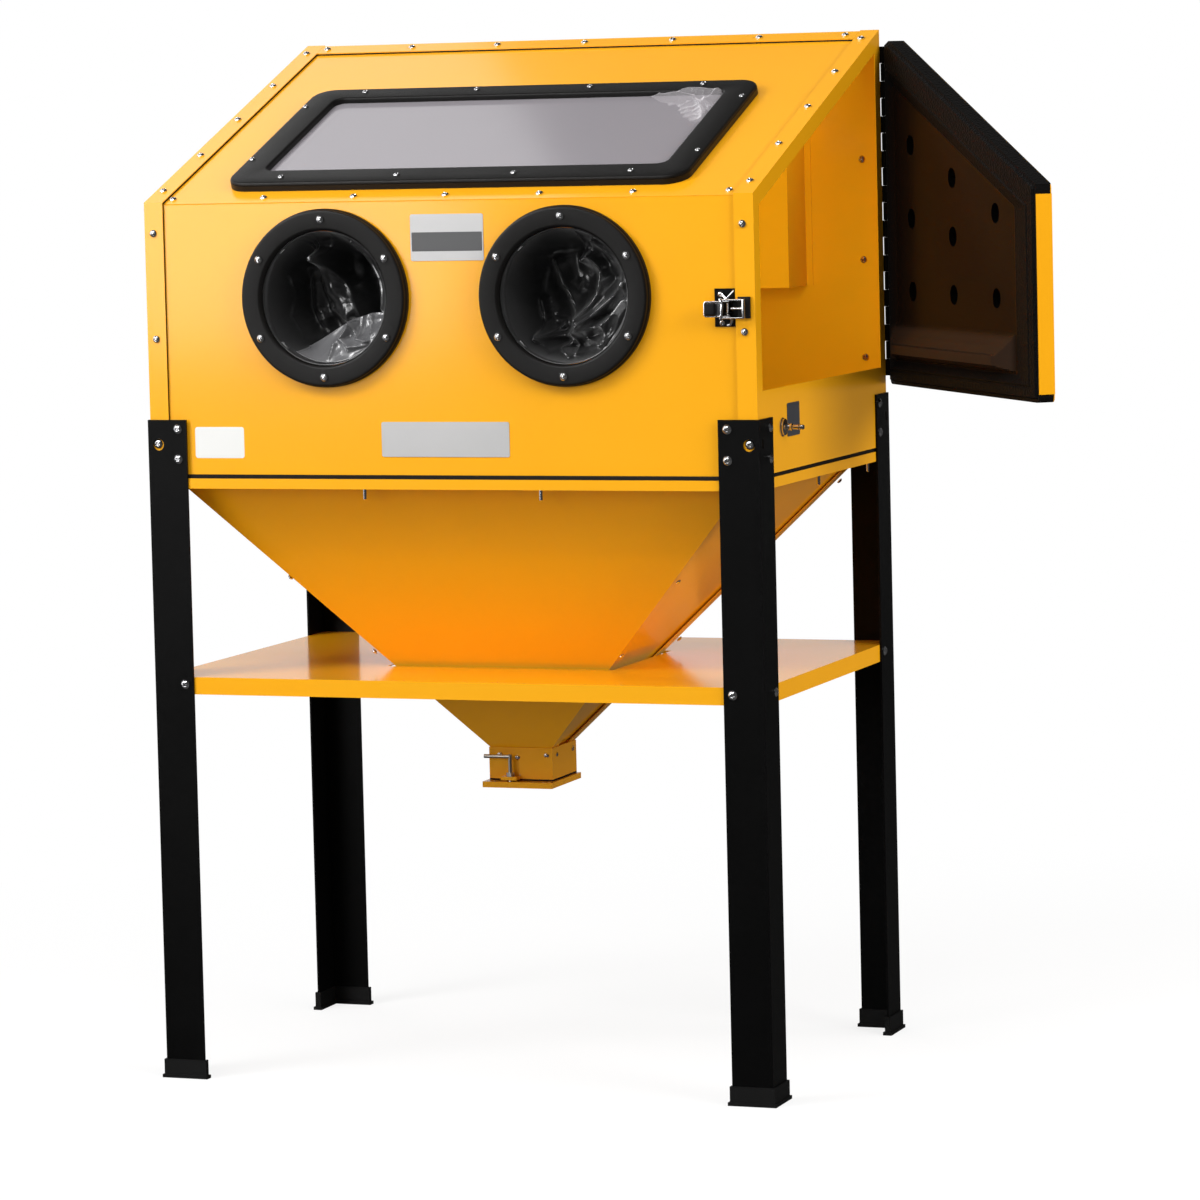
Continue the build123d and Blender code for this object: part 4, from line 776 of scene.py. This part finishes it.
def door_point(r, z, level):
    """Points on the door: out from its hinge axis, up from the floor, and above its seam level."""
    return (door_axis + (np.asarray(r)[..., None] * along_door + np.asarray(level)[..., None] * into_door
                         + np.asarray(z)[..., None] * np.array([0, 0, 1.0])) / 1000)


def liner_top(r):
    """The slab's top edge: it falls with the chamber's slope, and its corner by the hinge is cut off."""
    return np.where(r < hinge_cut, cut_start + (r - liner_near) * cut_rise, crown_start - top_fall * r)


def ramp(value, low, high):
    """0 below low, 1 above high and straight between."""
    return np.clip((value - low) / (high - low), 0, 1)


ledge_root, ledge_shoulder, ledge_nose, ledge_end, ledge_height, nose_radius = 1048, 1057, 1073, 1105, 19, 11
ledge_near, ledge_far, ledge_slant = 34, 500, 56


def ledge_level(r, z):
    """The ledge in section: up from its root, a plain face, a rounded nose and a falling back.

    The nose is made by the root of one minus the square of the run past its middle. The back falls
    evenly, about half as high. The far end slants down, and the near end is no higher than the rim.
    """
    crest, nose_end = recess_floor + ledge_height, ledge_nose + nose_radius
    face = recess_floor + ledge_height * ramp(z, ledge_root, ledge_shoulder)
    run = np.clip((z - ledge_nose) / nose_radius, 0, 1)
    nose = crest - nose_radius * (1 - np.sqrt(1 - run**2)) * 0.9
    back = recess_floor + (ledge_end - z) * ledge_height / (ledge_end - nose_end) * 0.52
    high = np.where(z < ledge_nose, face, np.minimum(nose, np.maximum(back, recess_floor)))
    high = np.where(z > nose_end, np.minimum(back, crest), high)
    end = recess_floor + np.clip((ledge_far - r) * ledge_height / ledge_slant, 0, ledge_height)
    high = np.minimum(high, end)
    high = np.where(r < ledge_near, np.minimum(high, rim_level), high)
    return np.maximum(high, recess_floor)


def liner_level(r, z):
    """The liner's face above the seam level.

    Outside the recess: a step up from the slab to the rim, 5 mm in from its edge, with a narrow
    groove beside the recess. Inside: the highest of four sides that slope down to the floor, the
    ledge, and the floor itself, with a fine bead round it. Also 1 where the glossy part is.
    """
    top = liner_top(r)
    slant = cos(np.arctan(top_fall))
    margin = np.min([r - liner_near, liner_far - r, z - liner_foot, (top - z) * slant], axis=0)
    rim = slab_front + (rim_level - slab_front) * ramp(margin, 5, 7.5)
    recess_top = top - recess_top_margin
    ways = {"hinge": r - recess_near, "end": recess_far - r, "bottom": z - recess_foot,
            "top": (recess_top - z) * slant}
    depth = rim_level - recess_floor
    sides = np.max([rim_level - depth * ramp(ways[name], 0, side_widths[name]) for name in ways], axis=0)
    inside = np.min([ways[name] for name in ways], axis=0)
    groove = 2.2 * np.exp(-((inside + 3.0) / 1.3) ** 2)
    floor_in = np.min([ways[name] - side_widths[name] for name in ways], axis=0)
    ledge = ledge_level(r, z)
    bead = 0.9 * np.exp(-(floor_in / 1.3) ** 2) * (ledge <= recess_floor)
    level = np.where(inside > 0, np.maximum(sides + bead, ledge), rim - groove)
    return level, np.maximum(ramp(floor_in, -1.5, -0.5), 1.0 * (ledge > sides + 0.05)) * (inside > 0)


def spaced(marks, step):
    """Numbers from the first mark to the last, with every mark among them and equal steps between."""
    parts = [np.linspace(a, b, max(int(round((b - a) / step)), 1), endpoint=False)
             for a, b in zip(marks[:-1], marks[1:])]
    return np.append(np.concatenate(parts), marks[-1])


# the grid's lines follow every fold: out from the hinge, up from the foot and down from the top edge
r_lines = spaced([4, 4.9, 9, 11.5, 12.6, 13.8, 15, 16, 17.2, 34, 444, 500, 568, 569.2, 570.3, 571.4, 573,
                  590.5, 593, 597.1, 598], 2.6)
foot_lines = spaced([0, 1.0, 5, 7.5, 21.5, 22.8, 24, 25, 37, 39, 48, 53, 64, 70, 75, 96, 140], 2.4)
top_lines = spaced([0.0, 1.0, 5.2, 7.9, 42.4, 43.8, 44.9, 46, 70.7, 72.0, 73.0, 74], 2.6)[::-1]
middle_rows = 86
crown = liner_top(r_lines)
lower = liner_foot + foot_lines[:, None] + 0 * crown
higher = crown - top_lines[:, None]
middle = lower[-1] + np.linspace(0, 1, middle_rows + 2)[1:-1, None] * (higher[0] - lower[-1])
grid_z = np.concatenate([lower, middle, higher])
grid_r = np.broadcast_to(r_lines, grid_z.shape)
in_pocket = np.zeros(grid_z.shape, bool)
for pocket_r, pocket_z in pocket_sites:
    # the points nearest the pocket's rim are drawn on to it, so that it is round
    away = np.hypot(grid_r - pocket_r, grid_z - pocket_z)
    close = np.abs(away - pocket_radius) < pocket_drawn
    grid_r = np.where(close, pocket_r + (grid_r - pocket_r) * pocket_radius / away, grid_r)
    grid_z = np.where(close, pocket_z + (grid_z - pocket_z) * pocket_radius / away, grid_z)
    in_pocket |= np.hypot(grid_r - pocket_r, grid_z - pocket_z) < pocket_radius - 0.2
grid_level, glossy = liner_level(grid_r, grid_z)
grid_level = grid_level - pocket_depth * in_pocket
for corner_r, out_r in ((liner_far, 1), (liner_near, -1)):
    # the foot's corners are drawn in to a round
    centre_r, centre_z = corner_r - out_r * liner_corner, liner_foot + liner_corner
    reach_r, reach_z = (grid_r - centre_r) * out_r, centre_z - grid_z
    square = np.maximum(reach_r, reach_z)
    scale = np.where((reach_r > 0) & (reach_z > 0), square / np.maximum(np.hypot(reach_r, reach_z), 1e-9), 1)
    grid_r, grid_z = (np.where(scale < 1, centre_r + (grid_r - centre_r) * scale, grid_r),
                      np.where(scale < 1, centre_z + (grid_z - centre_z) * scale, grid_z))
rows, columns = grid_r.shape
front_points = door_point(grid_r, grid_z, grid_level)
order = np.arange(rows * columns).reshape(rows, columns)
border = np.concatenate([order[0, :-1], order[:-1, -1], order[-1, :0:-1], order[:0:-1, 0]])
wall = [door_point(grid_r.ravel()[border], grid_z.ravel()[border], np.full(len(border), level))
        for level in (slab_front - 0.6, slab_back)]
points = np.concatenate([front_points.reshape(-1, 3), *wall])
front_faces = grid_faces(rows, columns)
first, count = rows * columns, len(border)
turn = np.roll(np.arange(count), -1)
rings = [border, first + np.arange(count), first + count + np.arange(count)]
wall_faces = [np.stack([a, b, b[turn], a[turn]], axis=1).tolist() for a, b in zip(rings[:-1], rings[1:])]
wall_faces = wall_faces[0] + wall_faces[1]
back_face = [rings[-1][::-1].tolist()]

liner_moulding, tree = bare_material("liner_moulding")
polish, ledge_sheen = (add_node(tree, "ShaderNodeAttribute", attribute_name=name).outputs["Fac"]
                    for name in ("polish", "ledge"))
place = add_node(tree, "ShaderNodeTexCoord").outputs["Object"]
grain = add_node(tree, "ShaderNodeTexVoronoi", {"Vector": place, "Scale": 300.0}).outputs["Distance"]
grain_height = fade(tree, polish, 0, 1, 0.0011, 0.00006)
bump = add_node(tree, "ShaderNodeBump", {
    "Distance": 1.0, "Strength": 1.0, "Height": maths(tree, "MULTIPLY", grain, grain_height)})
recess_tone = blend(tree, polish, (0.0062, 0.0058, 0.0056), (0.0100, 0.0058, 0.0038))
# the ledge gets a lighter brown than the recess: a painted sheen for the light its slopes catch
shader = add_node(tree, "ShaderNodeBsdfPrincipled", {
    "Base Color": blend(tree, ledge_sheen, recess_tone, (0.029, 0.0180, 0.0125)),
    "Roughness": fade(tree, polish, 0, 1, 0.46, 0.26), "Specular IOR Level": 0.025,
    "Normal": bump.outputs["Normal"]})
show(tree, shader.outputs["BSDF"])
# the pockets are painted near black with almost no gloss: painted shade inside them
pocket_shade = finish_of("pocket_shade", (0.0012, 0.0011, 0.001), (0.0008, 0.0008, 0.0008), 0.9, 900, 0.1,
                         specular=0.02)

liner = piece("door_liner_moulding", points, front_faces + wall_faces + back_face, "door", liner_moulding,
              "liner_moulding", weld=False)
liner.data.materials.append(pocket_shade)
sunk = (in_pocket[:-1, :-1] | in_pocket[:-1, 1:] | in_pocket[1:, 1:] | in_pocket[1:, :-1]).ravel()
sunk = np.append(sunk, np.zeros(len(wall_faces) + 1, bool))
liner.data.polygons.foreach_set("material_index", sunk.astype(np.int32))
# the ledge attribute carries that painted sheen, fading in as the ledge rises above the recess floor
ledge_sheen_share = ramp(ledge_level(grid_r, grid_z) - recess_floor, 0.5, 5) * glossy
for name, share in (("polish", glossy), ("ledge", ledge_sheen_share)):
    values = np.append(share.ravel(), np.zeros(2 * count))
    liner.data.attributes.new(name, "FLOAT", "POINT").data.foreach_set("value", values)
sharp_edges(liner, 32)
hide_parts("door_liner")
cover(black_coat, "hinge_frame_leaf", "hinge_door_leaf")

# the outer sheet: its upward faces, along the folded top edge, are coloured black and keep little coat, so
# nothing shines there
skin_coat = yellow_coat.copy()
skin_coat.name = "skin_coat"
tree = skin_coat.node_tree
shader = shader_of(skin_coat)
face_way = add_node(tree, "ShaderNodeNewGeometry").outputs["Normal"]
face_up = add_node(tree, "ShaderNodeSeparateXYZ", {"Vector": face_way}).outputs["Z"]
yellow = shader.inputs["Base Color"].links[0].from_socket
edge_colour = blend(tree, maths(tree, "GREATER_THAN", face_up, 0.6), yellow, (0.006, 0.006, 0.006))
edge_coat = fade(tree, face_up, 0.59, 0.61, 0.8, 0.05, "SMOOTHSTEP")
tree.links.new(edge_colour, shader.inputs["Base Color"])
tree.links.new(edge_coat, shader.inputs["Coat Weight"])
cover(skin_coat, "door_skin")

# ------------------------------------------------------------------ latch
# A chromed toggle latch on a black base: a lever tray with a black grip, a claw frame with its
# threaded rod that hooks over the edge by the door, and the bent wires of its springs.
bright_chrome = finish_of("bright_chrome", (0.92, 0.92, 0.93), (0.82, 0.82, 0.84), 0.20, 900, 0.04,
                          metallic=1.0, rough_spread=0.06)
cover(bright_chrome, "latch_pin")
cover(black_coat, "latch_base")
mid = sum(corner[2] for corner in corners("latch_lever")) / 2 - 1.5    # the height of the latch's middle


def block(x, y, z, radius, steps=4):
    """A box with rounded edges, in millimetres.

    Each point of a small ball's grid moves outwards along every axis by half the box's size less
    the radius, to the side of the middle that it lies on.
    """
    turn = np.linspace(0, pi / 2, steps)
    tilt = np.concatenate([-turn[::-1], turn])[:, None]
    heading = np.concatenate([turn + quarter * pi / 2 for quarter in range(4)])
    way_x, way_y = np.repeat([1, -1, -1, 1], steps), np.repeat([1, 1, -1, -1], steps)
    flat = np.ones((2 * steps, 4 * steps))
    ball = np.stack([np.cos(tilt) * np.cos(heading), np.cos(tilt) * np.sin(heading), np.sin(tilt) * flat],
                    axis=-1)
    way = np.stack([way_x * flat, way_y * flat, np.repeat([-1, 1], steps)[:, None] * flat], axis=-1)
    low, high = np.array([x, y, z], float).T
    points = (low + high) / 2 + ((high - low) / 2 - radius) * way + radius * ball
    index = np.arange(points.size // 3).reshape(2 * steps, 4 * steps)
    caps = [index[0][::-1].tolist(), index[-1].tolist()]
    return points, grid_faces(2 * steps, 4 * steps, wrap_columns=True) + caps


def bar(path, beside, deep, closed=False, around=14, power=0.7):
    """A bar with an oval section swept along a path in millimetres that lies across the y axis.

    The section is a superellipse: its half widths times the cosine and sine of an angle, each
    raised to the power with its sign kept.
    """
    path = np.asarray(path, float)
    on = np.roll(path, -1, 0) - np.roll(path, 1, 0) if closed else np.gradient(path, axis=0)
    side = np.cross(on, [0, 1.0, 0])
    side /= np.linalg.norm(side, axis=1, keepdims=True)
    out = np.cross(side, on)
    out /= np.linalg.norm(out, axis=1, keepdims=True)
    angle = np.arange(around) * 2 * pi / around
    c, s = (np.sign(f) * np.abs(f) ** power for f in (np.cos(angle), np.sin(angle)))
    points = (path[:, None] + beside * c[None, :, None] * side[:, None]
              + deep * s[None, :, None] * out[:, None])
    faces = grid_faces(len(path), around, wrap_rows=closed, wrap_columns=True)
    last = (len(path) - 1) * around
    caps = [list(range(around))[::-1], list(range(last, last + around))]
    return points, faces if closed else faces + caps


def bent(*bends, steps=9):
    """A path through corners, each rounded by a curve from a third of the way along its sides, or 2.5 mm.

    The curve is the quadratic one that sets out from one side and comes in along the other.
    """
    bends = np.array(bends, float)
    path = [bends[:1]]
    for before, corner, after in zip(bends[:-2], bends[1:-1], bends[2:]):
        a, b = (corner + (end - corner) * min(1 / 3, 2.5 / np.linalg.norm(end - corner))
                for end in (before, after))
        t = np.linspace(0, 1, steps)[:, None]
        path.append((1 - t) ** 2 * a + 2 * t * (1 - t) * corner + t**2 * b)
    return np.concatenate(path + [bends[-1:]])


def together(name, parts, body, material, material_slot, angle=40):
    """Several shells in one piece, each a pair of points in millimetres and faces."""
    points = [part[0].reshape(-1, 3) for part in parts]
    starts = np.cumsum([0] + [len(p) for p in points])
    faces = [(np.array(face) + start).tolist() for (_, shell), start in zip(parts, starts) for face in shell]
    made = piece(name, origin + np.concatenate(points) / 1000, faces, body, material, material_slot)
    sharp_edges(made, angle)
    return made


def flat_loop(x0, x1, reach, radius, y):
    """A rounded rectangle round the latch's middle, as a path at one depth."""
    loop = rounded_loop(x0, x1, mid - reach, mid + reach, radius, arc=8)
    return np.stack([loop[:, 0], np.full(len(loop), y), loop[:, 1]], axis=1)


tray = together("latch_lever_tray", [
    block((887, 914), (-13.4, -12.2), (mid - 10.8, mid + 10.8), 0.5),
    bar(flat_loop(887.4, 913, 10.7, 3.5, -14.0), 1.15, 1.45, closed=True),
    block((907, 925.2), (-13.6, -3.2), (mid + 9.9, mid + 11.5), 0.6),
    block((907, 925.2), (-13.6, -3.2), (mid - 11.5, mid - 9.9), 0.6),
], "latch_lever", bright_chrome, "bright_steel")
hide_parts("latch_lever")
grip = together("latch_lever_grip", [
    block((888.6, 905.6), (-20.4, -13.3), (mid - 9.4, mid + 9.4), 2.8, steps=7),
], "latch_lever", foot_rubber, "grip_rubber")
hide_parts("latch_grip")

rod_radius, thread_depth, thread_pitch, threads, rod_around = 1.9, 0.45, 2.0, 8, 16
rod = [(0.0, 0.0), (1.5, 0.0)]
for number in range(threads):
    start = thread_pitch * number
    rod += [(rod_radius, start + 0.7), (rod_radius, start + 1.2), (rod_radius - thread_depth, start + 1.8)]
rod += [(1.6, 17.2), (0.0, 17.6)]
rod_foot = np.array([926.6, -10.3, mid + 0.6]) / 1000
rod_points, rod_faces = turned(rod, rod_around, rod_foot, (0, 1, 0), (0, 0, 1), (1, 0, 0))
arm_path = bent((910.4, -10.9, mid + 12.9), (945.9, -10.9, mid + 12.9), (945.9, -10.9, mid - 12.9),
                (910.4, -10.9, mid - 12.9))
bridge_path = bent((911.0, -12.8, mid + 15.0), (914.6, -14.0, mid + 6.0), (913.4, -14.0, mid - 4.0),
                   (912.0, -12.8, mid - 14.6))
claw = together("latch_claw_frame", [
    bar(arm_path, 1.3, 2.3),
    block((943.6, 947.9), (-13.4, -7.6), (mid - 14.0, mid + 14.0), 1.1),
    bar(bridge_path, 2.1, 1.6),
    (rod_points * 1000, rod_faces),
], "latch_claw", bright_chrome, "bright_steel")
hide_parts("latch_claw")
together("latch_bed", [block((925, 938), (-0.6, 3.8), (mid - 13.5, mid + 13.5), 0.6)],
         "cabinet", black_coat, "black_coat")
spring_paths = [
    # each bend's x, y and height above the latch's middle, then the wire's two half widths
    (((916.5, -7.4, 11.4), (921.5, -5.0, 17.5), (927.2, -0.6, 24.5), (926.4, 1.3, 26.2)), 1.5, 0.7),
    (((919.5, -7.4, 11.4), (915.0, -4.6, 17.0), (910.0, -1.0, 21.5), (907.0, 1.2, 22.5)), 1.5, 0.7),
    (((924.0, -7.4, -12.0), (926.2, -4.4, -17.0), (922.5, -0.6, -23.0), (916.8, 1.3, -24.4)), 1.6, 0.8),
]
together("latch_springs", [bar(bent(*(np.array(path) + (0, 0, mid))), beside, deep)
                           for path, beside, deep in spring_paths],
         "cabinet", bright_chrome, "bright_steel")
heads("latch_screws", [(at(907.2, 2, mid + 20.5), front_out), (at(909.0, 2, mid - 20.5), front_out)],
      4.0, 2.4, recess="hexagon", recess_depth=1.6, seed=41)

# ------------------------------------------------------------------ air inlet
# A nickel-plated brass hose plug, turned in one piece with a wide washer and ribs that grip the
# hose. It is screwed into the right side and stands straight out of it.
nickel = finish_of("nickel", (0.82, 0.77, 0.70), (0.62, 0.57, 0.51), 0.24, 900, 0.08, metallic=1.0)
plug_profile = [
    # radius, distance out from the side
    (0.0, 0.0), (13.9, 0.0), (13.9, 1.5), (13.2, 2.3), (11.9, 2.5), (11.6, 3.1), (12.2, 3.7), (12.2, 5.0),
    (11.2, 5.9), (8.6, 6.4), (6.2, 7.6), (5.1, 9.4), (4.4, 12.0), (4.4, 13.2), (5.3, 13.8), (5.3, 15.6),
    (4.3, 16.2), (3.4, 17.0), (3.2, 23.6), (4.0, 24.2), (4.0, 25.6), (3.2, 26.2), (4.0, 27.0), (4.0, 28.2),
    (3.2, 28.8), (4.0, 29.6), (3.8, 32.0), (3.0, 33.6), (1.6, 33.9), (1.4, 31.0), (0.0, 31.0)]
plug_around = 40
plug = piece("hose_plug", *turned(plug_profile, plug_around, at(chamber_width, 110, 978),
                                  (0, 1, 0), (0, 0, 1), (1, 0, 0)), "cabinet", nickel, "inlet_brass")
sharp_edges(plug, 35)
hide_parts("air_inlet")
